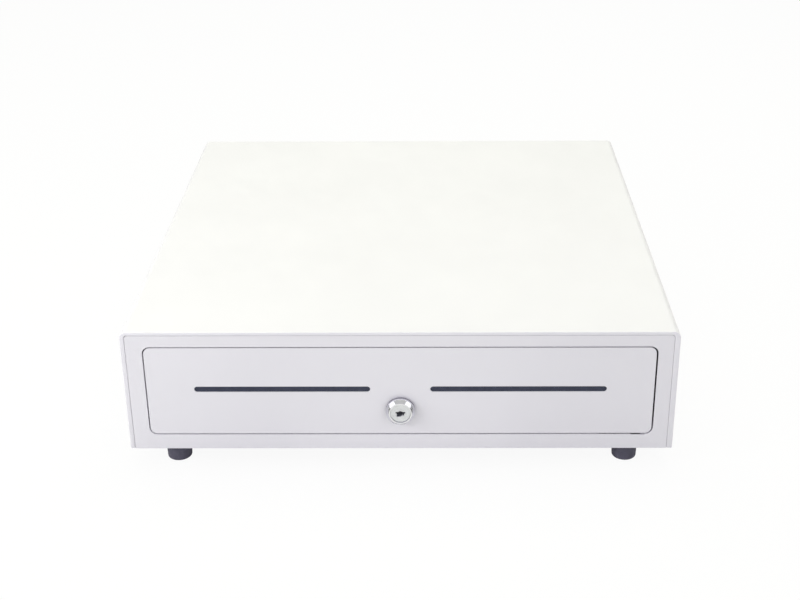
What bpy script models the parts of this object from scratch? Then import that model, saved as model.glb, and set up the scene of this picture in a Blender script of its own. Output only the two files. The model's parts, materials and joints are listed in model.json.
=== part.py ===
"""Cash drawer for a point of sale, with its till, key lock, slides and rear latch.

Every length is in millimetres and is measured from the case datum: X from the
centre plane, Y rearwards from the front face, Z up from the underside of the
case. Vertices are turned into Blender's metres when a mesh is made, and the
whole object stands on Z = 0 with its footprint centred on the origin.
"""

import math

import bmesh
import bpy
from mathutils import Matrix, Vector

MM = 0.001

# Driving dimensions: the case
CASE_W = 410.0
CASE_D = 415.0
CASE_H = 99.0
SHEET = 1.2
TOP_BEND_R = 5.0
HEM_TOP = 2.4
HEM_LEFT = 3.0
HEM_RIGHT = 4.0
HEM_DEPTH = 10.0
HALF_W = CASE_W / 2
FRAME_GAP = 0.4
PLATE_Y = 0.2
FOOT_H = 14.2
FOOT_R = 9.7
FOOT_X = 171.0
FOOT_Y = (14.0, 400.0)
FOOT_HOLE_R = 2.5
BACK_FACE = 414.9
LOCK_PROUD = 5.5
SCREW_PROUD = 1.5

# Driving dimensions: the opening and the drawer
OPEN_W = 379.2
OPEN_LOW = 12.2
OPEN_TOP = 87.0
OPEN_R = 6.0
REVEAL = 1.0
TRAVEL = 290.0
PAN_HALF_W = 180.0
PAN_LOW = 17.0
PAN_REAR = 350.0
PAN_SHEET = 1.0
PAN_TOP = 80.0
SLOT_X = 87.8
SLOT_Z = 51.4
SLOT_W = 131.0
SLOT_H = 4.6

# Driving dimensions: slides
SLIDE_Z = 45.0
SLIDE_HALF_H = 17.5
SLIDE_Y = (12.0, 362.0)
INNER_Y = (14.0, 357.0)
CAGE_Y = (165.0, 275.0)
BALL_R = 2.3
BALLS_PER_ROW = 4

# Driving dimensions: the till
TRAY_HALF_W = 177.0
TRAY_Y = (38.0, 346.5)
TRAY_Z = (44.0, 82.0)
TRAY_WALL = 2.0
BAY_FRONT = 150.5
NOTE_BAYS = 5
COIN_COLUMNS = 4
CLIP_Y = 282.0
CLIP_Z = 70.0
CLIP_W = 20.0

# Driving dimensions: the lock and the rear latch
LOCK_Z = 33.6
LOCK_BARREL_R = 9.5
LOCK_HOLE_R = 9.8
LOCK_PLUG_R = 8.0
LATCH_PIVOT = (-14.0, 404.0)
LATCH_SWING = math.radians(13.0)
LATCH_Z = (39.0, 42.0)
SOLENOID_Y = 377.65
SOLENOID_Z = 43.3
KICKER_X = 110.0
KICKER_Z = 36.0
SWITCH_HINGE = (35.3, 363.3)
SOCKET_X = -134.0
WIRE_R = 0.5

# The overall footprint runs from the lock's face to the rear screw heads.
DATUM = Vector((0.0, (LOCK_PROUD - CASE_D - SCREW_PROUD) / 2, FOOT_H))

# Finishes: base colour, roughness, metallic
WHITE_PAINT = ((0.80, 0.79, 0.81), 0.45, 0.0)
DRAWER_PAINT = ((0.74, 0.73, 0.76), 0.45, 0.0)
ZINC = ((0.62, 0.64, 0.66), 0.35, 1.0)
BRIGHT_STEEL = ((0.72, 0.72, 0.73), 0.25, 1.0)
CHROME = ((0.80, 0.80, 0.81), 0.08, 1.0)
RUBBER = ((0.035, 0.034, 0.040), 0.85, 0.0)
BLACK_PLASTIC = ((0.030, 0.030, 0.033), 0.50, 0.0)
GREY_PLASTIC = ((0.22, 0.22, 0.24), 0.50, 0.0)
NYLON = ((0.75, 0.73, 0.66), 0.45, 0.0)
COPPER = ((0.45, 0.20, 0.09), 0.40, 1.0)
BOARD_GREEN = ((0.03, 0.17, 0.07), 0.45, 0.0)


# ---------------------------------------------------------------- outlines


def fillet(corners, radius, steps=4, closed=True):
    """The corners of an outline, each turned into an arc of the given radius (0 keeps it)."""
    radii = radius if isinstance(radius, (list, tuple)) else [radius] * len(corners)
    points = []
    for i, corner in enumerate(corners):
        end = not closed and i in (0, len(corners) - 1)
        if end or radii[i] == 0:
            points.append(Vector(corner))
            continue
        at = Vector(corner)
        before = (Vector(corners[i - 1]) - at).normalized()
        after = (Vector(corners[(i + 1) % len(corners)]) - at).normalized()
        half = before.angle(after) / 2
        centre = at + (before + after).normalized() * radii[i] / math.sin(half)
        first = at + before * radii[i] / math.tan(half) - centre
        last = at + after * radii[i] / math.tan(half) - centre
        turn = first.angle_signed(last)
        for step in range(steps + 1):
            points.append(centre + Matrix.Rotation(-turn * step / steps, 2) @ first)
    return points


def rounded_box(x0, x1, z0, z1, radius, steps=4):
    return fillet([(x0, z0), (x1, z0), (x1, z1), (x0, z1)], radius, steps)


def circle(centre, radius, segments=24):
    turns = [2 * math.pi * i / segments for i in range(segments)]
    middle = Vector(centre)
    return [middle + radius * Vector((math.cos(a), math.sin(a))) for a in turns]


def hexagon(centre, across_flats):
    return circle(centre, across_flats / math.sqrt(3), 6)


def thickened(path, thickness):
    """A sheet's cross-section: the path, and back along it, offset to the path's left."""
    points = [Vector(p) for p in path]
    inner = []
    for i, point in enumerate(points):
        sides = []
        if i > 0:
            sides.append((point - points[i - 1]).normalized())
        if i < len(points) - 1:
            sides.append((points[i + 1] - point).normalized())
        normals = [Vector((-side.y, side.x)) for side in sides]
        total = sum(normals, Vector((0, 0)))
        scale = thickness / (1 + normals[0].dot(normals[-1])) if len(normals) == 2 else thickness
        inner.append(point + total * scale)
    return points + inner[::-1]


def turned_about(points, centre, angle):
    middle = Vector(centre)
    turn = Matrix.Rotation(angle, 2)
    return [middle + turn @ (Vector(p) - middle) for p in points]


# ------------------------------------------------------------------ solids


def on_axis(axis, flat, along):
    """A point from its two coordinates across the axis and the one along it."""
    u, v = flat
    if axis == "X":
        return Vector((along, u, v))
    if axis == "Y":
        return Vector((u, along, v))
    return Vector((u, v, along))


def prism(axis, outline, low, high):
    """A closed solid with a flat outline across one axis."""
    bm = bmesh.new()
    base = bm.faces.new([bm.verts.new(on_axis(axis, p, low)) for p in outline])
    grown = bmesh.ops.extrude_face_region(bm, geom=[base])["geom"]
    lifted = [v for v in grown if isinstance(v, bmesh.types.BMVert)]
    bmesh.ops.translate(bm, verts=lifted, vec=on_axis(axis, (0, 0), high - low))
    bmesh.ops.recalc_face_normals(bm, faces=bm.faces)
    return bm


def block(x0, x1, y0, y1, z0, z1):
    return prism("Z", [(x0, y0), (x1, y0), (x1, y1), (x0, y1)], z0, z1)


def lathe(axis, centre, profile, segments=24):
    """A solid of revolution. The profile lists (along, radius), open at both ends or closed."""
    bm = bmesh.new()
    rings = []
    for along, radius in profile:
        if radius == 0:
            rings.append([bm.verts.new(on_axis(axis, centre, along))])
        else:
            rings.append([bm.verts.new(on_axis(axis, p, along)) for p in circle(centre, radius, segments)])
    closed = profile[0][1] != 0
    pairs = list(zip(rings, rings[1:]))
    if closed:
        pairs.append((rings[-1], rings[0]))
    for ring, following in pairs:
        for i in range(segments):
            quad = []
            for vert in (ring[i % len(ring)], ring[(i + 1) % len(ring)],
                         following[(i + 1) % len(following)], following[i % len(following)]):
                if vert not in quad:
                    quad.append(vert)
            bm.faces.new(quad)
    bmesh.ops.recalc_face_normals(bm, faces=bm.faces)
    return bm


def rod(axis, centre, radius, low, high, segments=20):
    return lathe(axis, centre, [(low, 0), (low, radius), (high, radius), (high, 0)], segments)


def tube(axis, centre, outer, inner, low, high, segments=20):
    return lathe(axis, centre, [(low, inner), (low, outer), (high, outer), (high, inner)], segments)


def ball(centre, radius):
    bm = bmesh.new()
    bmesh.ops.create_icosphere(bm, subdivisions=1, radius=radius, matrix=Matrix.Translation(centre))
    return bm


# ----------------------------------------------------------------- objects


def clear_scene():
    for obj in list(bpy.data.objects):
        bpy.data.objects.remove(obj, do_unlink=True)


def world(point):
    return (Vector(point) + DATUM) * MM


def material_for(name, finish):
    colour, roughness, metallic = finish
    material = bpy.data.materials.new(name)
    material.use_nodes = True
    shader = material.node_tree.nodes["Principled BSDF"]
    shader.inputs["Base Color"].default_value = (*colour, 1)
    shader.inputs["Roughness"].default_value = roughness
    shader.inputs["Metallic"].default_value = metallic
    material.diffuse_color = (*colour, 1)
    return material


def raw_object(name, bm, origin):
    """A mesh object whose own origin is the given point of the case datum's frame."""
    bmesh.ops.translate(bm, verts=bm.verts, vec=-Vector(origin))
    bmesh.ops.scale(bm, verts=bm.verts, vec=(MM, MM, MM))
    mesh = bpy.data.meshes.new(name)
    bm.to_mesh(mesh)
    bm.free()
    mesh.shade_smooth()
    mesh.set_sharp_from_angle(angle=math.radians(32))
    obj = bpy.data.objects.new(name, mesh)
    bpy.context.scene.collection.objects.link(obj)
    return obj


def set_place(obj, origin, parent):
    obj.location = world(origin)
    if parent:
        obj.parent = parent
        obj.location = world(origin) - parent.location


def add_boolean(host, operation, shapes, origin, parent):
    """Joins or cuts every shape at once, through one collection of hidden helpers."""
    if not shapes:
        return
    label = f"{host.name}_{operation.lower()}"
    helpers = bpy.data.collections.new(label)
    bpy.context.scene.collection.children.link(helpers)
    for i, bm in enumerate(shapes):
        helper = raw_object(f"{label}_{i}", bm, origin)
        bpy.context.scene.collection.objects.unlink(helper)
        helpers.objects.link(helper)
        set_place(helper, origin, parent)
        helper.hide_render = True
        helper.display_type = "WIRE"
    modifier = host.modifiers.new(operation.title(), "BOOLEAN")
    modifier.operation = operation
    modifier.operand_type = "COLLECTION"
    modifier.collection = helpers
    modifier.solver = "EXACT"


def part(name, finish, shapes, cuts=(), origin=(0, 0, 0), parent=None):
    """One named solid: its shapes joined, then its cuts taken away."""
    host = raw_object(name, shapes[0], origin)
    set_place(host, origin, parent)
    host.data.materials.append(material_for(name, finish))
    add_boolean(host, "UNION", shapes[1:], origin, parent)
    add_boolean(host, "DIFFERENCE", cuts, origin, parent)
    return host


def wire(name, finish, points, radius, parent=None, origin=(0, 0, 0)):
    """A round wire along a path, as a curve with a bevel and filled ends."""
    curve = bpy.data.curves.new(name, "CURVE")
    curve.dimensions = "3D"
    curve.bevel_depth = radius * MM
    curve.bevel_resolution = 1
    curve.use_fill_caps = True
    spline = curve.splines.new("POLY")
    spline.points.add(len(points) - 1)
    for knot, point in zip(spline.points, points):
        knot.co = (*((Vector(point) - Vector(origin)) * MM), 1)
    obj = bpy.data.objects.new(name, curve)
    bpy.context.scene.collection.objects.link(obj)
    curve.materials.append(material_for(name, finish))
    set_place(obj, origin, parent)
    return obj


def helix(axis, centre, radius, low, high, turns, per_turn=8):
    """Points of a coil spring about an axis."""
    count = int(turns * per_turn)
    points = []
    for i in range(count + 1):
        angle = 2 * math.pi * i / per_turn
        flat = Vector(centre) + radius * Vector((math.cos(angle), math.sin(angle)))
        points.append(on_axis(axis, flat, low + (high - low) * i / count))
    return points


def joint_empty(name, point):
    empty = bpy.data.objects.new(name, None)
    bpy.context.scene.collection.objects.link(empty)
    empty.empty_display_size = 0.02
    empty.location = world(point)
    return empty


# -------------------------------------------------------------------- case


def foot_places():
    return [(x, y) for y in FOOT_Y for x in (-FOOT_X, FOOT_X)]


def foot_names():
    return ("front_left", "front_right", "rear_left", "rear_right")


def outer_cover():
    """Top and sides folded from one sheet, hemmed in front, turned in under the chassis."""
    flange_x = HALF_W - 55
    path = [(-flange_x, 0), (-HALF_W, 0), (-HALF_W, CASE_H), (HALF_W, CASE_H), (HALF_W, 0), (flange_x, 0)]
    sheet = thickened(fillet(path, [0, 2, TOP_BEND_R, TOP_BEND_R, 2, 0], 5, closed=False), -SHEET)
    inset, foot_z = SHEET / 2, 0.3
    edge, top = HALF_W - inset, CASE_H - inset
    outline = [(-edge, foot_z), (-edge, top), (edge, top), (edge, foot_z)]
    outer = fillet(outline, TOP_BEND_R - inset, 5, closed=False)
    left, right, under = HEM_LEFT - HALF_W, HALF_W - HEM_RIGHT, CASE_H - HEM_TOP
    inner = fillet([(left, foot_z), (left, under), (right, under), (right, foot_z)], 2.4, 5, closed=False)
    frame_room = block(left + 0.1, right - 0.1, -1, 1.7, -1, 1.6)
    holes = [rod("Z", place, FOOT_HOLE_R, -1, 2, 12) for place in foot_places()]
    part("outer_cover", WHITE_PAINT,
         [prism("Y", sheet, PLATE_Y, CASE_D), prism("Y", outer + inner[::-1], 0, HEM_DEPTH)],
         [frame_room, *holes])


def opening(grow, y0, y1):
    """The drawer opening's outline, grown outwards, as a solid."""
    half = OPEN_W / 2 + grow
    return prism("Y", rounded_box(-half, half, OPEN_LOW - grow, OPEN_TOP + grow, OPEN_R + grow), y0, y1)


def front_frame():
    """Plate inside the cover's hem. It turns back round the drawer opening and at its outer edges.

    The opening's flange is relieved along its right side and beside its lower right corner.
    """
    left, right = HEM_LEFT + FRAME_GAP - HALF_W, HALF_W - HEM_RIGHT - FRAME_GAP
    top = CASE_H - HEM_TOP - FRAME_GAP
    face = fillet([(left, 0), (right, 0), (right, top), (left, top)], [0, 0, 2, 2])
    bend, rear, side_z = PLATE_Y + SHEET / 2, 14, (4, 90)
    half, behind, past = OPEN_W / 2, PLATE_Y + SHEET, SHEET + 1
    side_relief = block(half - 1, half + past, behind, 12, OPEN_LOW + 10, OPEN_TOP - OPEN_R)
    lower_relief = block(half - 40, half - 9, behind, 12, OPEN_LOW - past, OPEN_LOW + 1)
    part("front_frame", WHITE_PAINT,
         [prism("Y", face, PLATE_Y, PLATE_Y + SHEET),
          opening(SHEET, bend, HEM_DEPTH + 0.2),
          block(left + 3.6, right - 3.6, bend, rear, top - 0.4 - SHEET, top - 0.4),
          block(left + 0.4, left + 0.4 + SHEET, bend, rear, *side_z),
          block(right - 0.4 - SHEET, right - 0.4, bend, rear, *side_z),
          block(-190, 190, bend, HEM_DEPTH + 0.5, 3.0, 3.0 + SHEET)],
         [opening(0, -1, 12), side_relief, lower_relief])


def chassis_base():
    """Floor, slide walls and cover flanges folded from one sheet, with tabs for the back screws."""
    wall_x, flange_x, low, top = 194.5, 203.3, 1.5, 76
    path = [(-flange_x, top), (-wall_x, top), (-wall_x, low), (wall_x, low), (wall_x, top), (flange_x, top)]
    sheet = thickened(fillet(path, [0, 2, 2, 2, 2, 0], 3, closed=False), SHEET)
    rear = BACK_FACE - 1.4
    tabs = [block(x - 8, x + 8, rear - SHEET, rear, 10, 70) for x in (-186, 186)]
    frame_room = [block(-204, -196, 1, 14.4, 75, 78), block(196, 204, 1, 14.4, 75, 78)]
    holes = [rod("Z", place, FOOT_HOLE_R - 0.2, 0, 4, 12) for place in foot_places()]
    holes += [rod("Y", place, 2.05, rear - 3, rear + 2, 12) for place in back_screw_places()]
    part("chassis_base", ZINC, [prism("Y", sheet, 1.7, rear), *tabs], frame_room + holes)


def back_screw_places():
    return [(x, z) for z in (18.0, 62.0) for x in (-186.0, 186.0)]


def back_panel():
    """Rear plate with short flanges, the cable socket's window and a shelf for the board."""
    half, front, flange_front, bend = 203.4, BACK_FACE - 1.1, BACK_FACE - 6.4, BACK_FACE - 0.7
    side = half - 0.2
    flanges = [
        block(-190, 190, flange_front, bend, 96.0, 97.2),
        block(-side, SHEET - side, flange_front, bend, 6, 74),
        block(side - SHEET, side, flange_front, bend, 6, 74),
        block(-190, 190, flange_front, bend, 3.0, 4.2),
        block(SOCKET_X - 22, SOCKET_X + 22, 396, bend, 18.3, 19.5),
    ]
    cuts = [block(SOCKET_X - 8, SOCKET_X + 8, front - 2, BACK_FACE + 1, 21, 35.4)]
    cuts += [rod("Y", place, 2.1, front - 2, BACK_FACE + 1, 12) for place in back_screw_places()]
    plate = fillet([(-half, 1.5), (half, 1.5), (half, 97.4), (-half, 97.4)], [1, 1, 4, 4])
    part("back_panel", WHITE_PAINT, [prism("Y", plate, front, BACK_FACE), *flanges], cuts)


def feet():
    """Rubber feet with a recess below for the screw, which passes up through the case."""
    bore, recess, seat, top = 2.4, 5.0, -8.0, -0.2
    profile = [(-FOOT_H, recess), (-FOOT_H, 8.2), (0.5 - FOOT_H, 8.9), (1.5 - FOOT_H, 9.2),
               (top, FOOT_R), (top, bore), (seat, bore), (seat, recess)]
    head, shank = 4.0, 2.0
    under, tip = seat - 0.3, 6.0
    screw = [(-10.9, 0), (-10.9, 3.0), (-10.2, head), (under, head), (under, shank), (tip, shank), (tip, 0)]
    for where, place in zip(foot_names(), foot_places()):
        part(f"foot_{where}", RUBBER, [lathe("Z", place, profile, 20)])
        part(f"foot_screw_{where}", BRIGHT_STEEL, [lathe("Z", place, screw, 12)])


def back_screws():
    head_face, shank, head = BACK_FACE + 0.2, 1.75, 3.5
    tip, back = 405, CASE_D + SCREW_PROUD
    profile = [(tip, 0), (tip, shank), (head_face, shank), (head_face, head), (back - 0.5, head - 0.3),
               (back, 2.2), (back, 0)]
    names = ("lower_left", "lower_right", "upper_left", "upper_right")
    for where, place in zip(names, back_screw_places()):
        part(f"back_screw_{where}", BRIGHT_STEEL, [lathe("Y", place, profile, 12)])


def lock_keeper():
    """Bracket on the chassis floor that the lock cam drops behind."""
    face, floor = 26.2, 3.0
    path = [(face + 20, floor), (face, floor), (face, 15.5)]
    part("lock_keeper", ZINC, [prism("X", thickened(fillet(path, 1.6, 3, closed=False), -1.5), -12, 12)])


# ------------------------------------------------------------------ slides


def mirrored(points, side):
    return [(side * p[0], p[1]) for p in points]


def channel(near_x, far_x, half_h, thickness, lip=0.0):
    """A slide member's C section about the slide's height, folded from near_x round far_x."""
    path = [(near_x, -half_h), (far_x, -half_h), (far_x, half_h), (near_x, half_h)]
    radii = [0, 1.6, 1.6, 0]
    if lip:
        path = [(near_x, lip - half_h), *path, (near_x, half_h - lip)]
        radii = [0, 1.4, 1.6, 1.6, 1.4, 0]
    inwards = thickness if far_x > near_x else -thickness
    outline = thickened(fillet(path, radii, 3, closed=False), inwards)
    return [(p[0], p[1] + SLIDE_Z) for p in outline]


def slides(drawer, cages):
    for where, side in (("left", -1), ("right", 1)):
        outer = mirrored(channel(183.0, 193.0, SLIDE_HALF_H, SHEET, 2.7), side)
        part(f"slide_outer_{where}", BRIGHT_STEEL, [prism("Y", outer, *SLIDE_Y)])
        inner = mirrored(channel(187.5, 180.3, 11.2, SHEET), side)
        part(f"slide_inner_{where}", BRIGHT_STEEL, [prism("Y", inner, *INNER_Y)], parent=drawer)
        ball_cage(where, side, cages[where])


def ball_cage(where, side, parent):
    """A strip folded round the inner rail, with its two rows of bearing balls held in it."""
    strip = mirrored(channel(184.8, 190.6, 14.1, 0.8), side)
    step = (CAGE_Y[1] - CAGE_Y[0]) / BALLS_PER_ROW
    balls = []
    for i in range(BALLS_PER_ROW):
        for z in (-13.7, 13.7):
            balls.append(ball((side * 187.0, CAGE_Y[0] + step * (i + 0.5), SLIDE_Z + z), BALL_R))
    part(f"ball_cage_{where}", BRIGHT_STEEL, [prism("Y", strip, *CAGE_Y), *balls], parent=parent)


# ------------------------------------------------------------------ drawer


def media_slot(side, y0, y1):
    x0 = side * SLOT_X - SLOT_W / 2
    z0 = SLOT_Z - SLOT_H / 2
    outline = rounded_box(x0, x0 + SLOT_W, z0, z0 + SLOT_H, SLOT_H / 2 - 0.01, 5)
    return prism("Y", outline, y0, y1)


def drawer_front(drawer):
    x, low, top = OPEN_W / 2 - REVEAL, OPEN_LOW + REVEAL, OPEN_TOP - REVEAL
    radius = OPEN_R - REVEAL
    shell = rounded_box(-x, x, low, top, radius)
    hollow = rounded_box(SHEET - x, x - SHEET, low + SHEET, top - SHEET, radius - SHEET)
    part("drawer_front", DRAWER_PAINT, [prism("Y", shell, PLATE_Y, 11.6)],
         [prism("Y", hollow, PLATE_Y + SHEET, 14), media_slot(-1, -1, 3), media_slot(1, -1, 3),
          rod("Y", (0, LOCK_Z), LOCK_HOLE_R, -1, 3, 28)], parent=drawer)


def drawer_pan(drawer):
    """Folded tray with front and rear walls, and ledges that the till stands on."""
    path = [(-PAN_HALF_W, PAN_TOP), (-PAN_HALF_W, PAN_LOW), (PAN_HALF_W, PAN_LOW), (PAN_HALF_W, PAN_TOP)]
    sheet = thickened(fillet(path, 1.8, 3, closed=False), PAN_SHEET)
    edge = PAN_HALF_W - 0.5
    floor, front = PAN_LOW + 0.5, 1.7
    ledge_x, ledge_z = 171, (42.4, 43.4)
    shapes = [
        prism("Y", sheet, front + 0.2, PAN_REAR - 0.2),
        block(-edge, edge, front, front + PAN_SHEET, floor, PAN_TOP + 2),
        block(-edge, edge, PAN_REAR - PAN_SHEET, PAN_REAR, floor, PAN_TOP - 1),
        block(-edge, -ledge_x, 36, PAN_REAR - 0.5, *ledge_z),
        block(ledge_x, edge, 36, PAN_REAR - 0.5, *ledge_z),
    ]
    cam_slot = block(-8, 25, 26.5, 33, PAN_LOW - 1, PAN_LOW + 2)
    cuts = [media_slot(-1, 1, 3), media_slot(1, 1, 3), rod("Y", (0, LOCK_Z), LOCK_HOLE_R, 1, 3, 28),
            rod("Y", (0, LOCK_Z), 3.2, PAN_REAR - 2, PAN_REAR + 1, 16), cam_slot]
    part("drawer_pan", DRAWER_PAINT, shapes, cuts, parent=drawer)


def media_chutes(drawer):
    """Folded hoods that turn whatever enters a slot down under the till."""
    front, rear, bend_z, tail_z = 3.0, 33.0, 57.5, 43.6
    path = [(front, 70), (front, bend_z), (rear, tail_z)]
    outline = thickened(fillet(path, 1.6, 3, closed=False), 1.0)
    half = SLOT_W / 2 + 1
    for where, side in (("left", -1), ("right", 1)):
        middle = side * SLOT_X
        hood = prism("X", outline, middle - half, middle + half)
        part(f"media_chute_{where}", ZINC, [hood], parent=drawer)


def lock_barrel(drawer):
    """Threaded barrel with a coned collar in front of the panel, and the nut that holds it."""
    bore, face, rim = LOCK_PLUG_R + 0.3, -LOCK_PROUD, 11.0
    profile = [(face, bore), (face, 8.6), (face + 0.25, 8.8), (face + 2.4, 10.72), (face + 3.1, rim),
               (-0.1, rim), (-0.1, LOCK_BARREL_R), (24, LOCK_BARREL_R), (24, bore)]
    part("lock_barrel", CHROME, [lathe("Y", (0, LOCK_Z), profile, 32)], parent=drawer)
    nut = prism("Y", hexagon((0, LOCK_Z), 25), 3.0, 6.5)
    part("lock_nut", ZINC, [nut], [rod("Y", (0, LOCK_Z), LOCK_HOLE_R, 2, 8, 28)], parent=drawer)


def lock_core(lock):
    """What the key turns: the plug, the cam behind it and the rod to the rear latch."""
    centre, axis_at = (0, LOCK_Z), (0, 0, LOCK_Z)
    face, shoulder, square_end = -4.9, 24.5, 31.0
    square, bolt = 3.5, 2.0
    plug = lathe("Y", centre, [(face, 0), (face, LOCK_PLUG_R - 0.4), (face + 0.4, LOCK_PLUG_R),
                               (shoulder, LOCK_PLUG_R), (shoulder, 0)], 28)
    key_square = block(-square, square, shoulder - 0.5, square_end, LOCK_Z - square, LOCK_Z + square)
    stud = rod("Y", centre, bolt, square_end - 0.5, 38.5, 16)
    keyway = block(-3.6, 3.6, face - 1, 14, LOCK_Z - 1.1, LOCK_Z + 1.1)
    part("lock_plug", BRIGHT_STEEL, [plug, key_square, stud], [keyway], origin=axis_at, parent=lock)

    hub, tip = circle(centre, 7, 24), circle((20, LOCK_Z), 4, 24)
    arm = [tip[i % 24] for i in range(-6, 7)] + hub[6:19]
    hole = square + 0.3
    part("lock_cam", ZINC, [prism("Y", arm, 27.8, 29.8)],
         [block(-hole, hole, 27, square_end, LOCK_Z - hole, LOCK_Z + hole)], origin=axis_at, parent=lock)

    coupler = prism("Y", hexagon(centre, 10), square_end + 0.3, 41)
    shaft = rod("Y", centre, 2.5, 40, 372, 16)
    latch_side, far_side, finger_tip = -1.3, 2.2, 15
    finger = block(latch_side, far_side, 364, 369, LOCK_Z, LOCK_Z + finger_tip)
    socket = rod("Y", centre, bolt + 0.3, square_end, 39.2, 16)
    part("release_rod", ZINC, [coupler, shaft, finger], [socket], origin=axis_at, parent=lock)


# -------------------------------------------------------------------- till


def bay_edges():
    """The left and right of each note bay."""
    inner = TRAY_HALF_W - TRAY_WALL
    width = (2 * inner - (NOTE_BAYS - 1) * TRAY_WALL) / NOTE_BAYS
    starts = [-inner + i * (width + TRAY_WALL) for i in range(NOTE_BAYS)]
    return [(start, start + width) for start in starts]


def cash_tray(drawer):
    inner = TRAY_HALF_W - TRAY_WALL
    floor, rim = TRAY_Z[0] + TRAY_WALL, TRAY_Z[1]
    rear = TRAY_Y[1] - TRAY_WALL
    cuts = [block(-inner, inner, TRAY_Y[0] + TRAY_WALL, BAY_FRONT - 2.5, floor, rim + 1),
            block(-inner, inner, BAY_FRONT, rear, rim - 4, rim + 1)]
    cuts += [block(x0, x1, BAY_FRONT, rear, floor, rim - 3) for x0, x1 in bay_edges()]
    cuts.append(rod("X", (CLIP_Y, CLIP_Z), 2.3, -178, 178, 16))
    outline = rounded_box(-TRAY_HALF_W, TRAY_HALF_W, *TRAY_Y, 4)
    part("cash_tray", BLACK_PLASTIC, [prism("Z", outline, *TRAY_Z)], cuts, parent=drawer)


def coin_cup(x0, x1, y0, y1):
    """A cup's room: a scooped floor from front to back, open at the top."""
    floor, above, scoop_r = 50, 81, 20
    corners = [(y0, floor), (y1, floor), (y1, above), (y0, above)]
    return prism("X", fillet(corners, [scoop_r, scoop_r, 0, 0], 5), x0, x1)


def coin_tray(drawer):
    half_w, front, rear, low, rim, web = 174.4, 40.6, 147.4, 46.4, 80, 2.4
    width = (2 * half_w - (COIN_COLUMNS + 1) * web) / COIN_COLUMNS
    depth = (rear - front - 3 * web) / 2
    cuts = []
    for column in range(COIN_COLUMNS):
        x0 = -half_w + web + column * (width + web)
        for row in range(2):
            y0 = front + web + row * (depth + web)
            cuts.append(coin_cup(x0, x0 + width, y0, y0 + depth))
    outline = rounded_box(-half_w, half_w, front, rear, 3)
    part("coin_tray", GREY_PLASTIC, [prism("Z", outline, low, rim)], cuts, parent=drawer)


def clip_centres():
    return [(x0 + x1) / 2 for x0, x1 in bay_edges()]


def note_clips(drawer, hinges):
    """Five sprung arms on one cross rod, and the torsion spring beside each."""
    centre = (CLIP_Y, CLIP_Z)
    part("clip_rod", BRIGHT_STEEL, [rod("X", centre, 2.0, -176.4, 176.4, 16)], parent=drawer)
    path = [(280, 67.2), (200, 51.8), (190, 51.8), (182, 56.5)]
    arm = thickened(fillet(path, [0, 12, 3, 0], 4, closed=False), -2.0)
    for number, (x, hinge) in enumerate(zip(clip_centres(), hinges), 1):
        low, high = x - CLIP_W / 2, x + CLIP_W / 2
        hub = rod("X", centre, 4.6, low, high, 20)
        part(f"note_clip_{number}", BLACK_PLASTIC, [hub, prism("X", arm, low, high)],
             [rod("X", centre, 2.4, low - 1, high + 1, 20)],
             origin=(x, CLIP_Y, CLIP_Z), parent=hinge)
        coil = helix("X", centre, 3.3, high + 1.2, high + 5.4, 3)
        leg = [coil[0] + Vector((0, 0, -9)), *coil, coil[-1] + Vector((0, 0, -9))]
        wire(f"clip_spring_{number}", BRIGHT_STEEL, leg, WIRE_R, parent=drawer)


# ---------------------------------------------------------- rear mechanism


def latch_bracket():
    """Raised shelf over the chassis floor that carries the latch, solenoid and switch."""
    left, right, foot, floor, shelf = -72, 62, 14, 3.0, 27.6
    path = [(left - foot, floor), (left, floor), (left, shelf),
            (right, shelf), (right, floor), (right + foot, floor)]
    outline = thickened(fillet(path, [0, 1.8, 2.2, 2.2, 1.8, 0], 3, closed=False), 1.5)
    part("latch_bracket", ZINC, [prism("Y", outline, 353, 408)],
         [rod("Z", LATCH_PIVOT, 2.8, shelf - 2, shelf + 3, 20)])


def latch_outline():
    """The lever as it stands when it holds the striker, then swung back to its released place."""
    x, y = LATCH_PIVOT
    round_end = [p for p in circle((x, y), 7, 24) if p.y > y - 0.1]
    hook = [(x - 7, y - 6), (-13, 390), (-13, 352.6), (-8, 352.6), (2.3, 358.2), (2.3, 360), (-3.1, 360),
            (-3.1, 374), (x + 7, y - 12)]
    return turned_about([*round_end, *hook], LATCH_PIVOT, -LATCH_SWING)


def latch(pivot):
    """Lever on a shouldered pin, with the torsion spring that swings it in to hold the drawer."""
    x, y = LATCH_PIVOT
    low, high = LATCH_Z
    bore, neck, washer = 2.8, 2.5, 4.5
    pin_at = turned_about([(-8, 378)], LATCH_PIVOT, -LATCH_SWING)[0]
    part("latch_lever", BRIGHT_STEEL,
         [prism("Z", latch_outline(), low, high), rod("Z", pin_at, 1.5, low + 1, 46.5, 12)],
         [rod("Z", LATCH_PIVOT, bore, low - 1, high + 1, 20)], origin=(x, y, low), parent=pivot)
    profile = [(24, 0), (24, neck), (29.4, neck), (29.4, washer), (low - 0.3, washer), (low - 0.3, neck),
               (high + 0.3, neck), (high + 0.3, washer), (high + 2, washer), (high + 2, 0)]
    part("latch_pivot_pin", BRIGHT_STEEL, [lathe("Z", LATCH_PIVOT, profile, 20)])
    coil = helix("Z", LATCH_PIVOT, 6.0, 30.4, 36.4, 3, 12)
    legs = [coil[0] + Vector((0, -14, 0)), *coil, coil[-1] + Vector((0, -20, 0))]
    wire("latch_spring", BRIGHT_STEEL, legs, WIRE_R)


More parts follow.
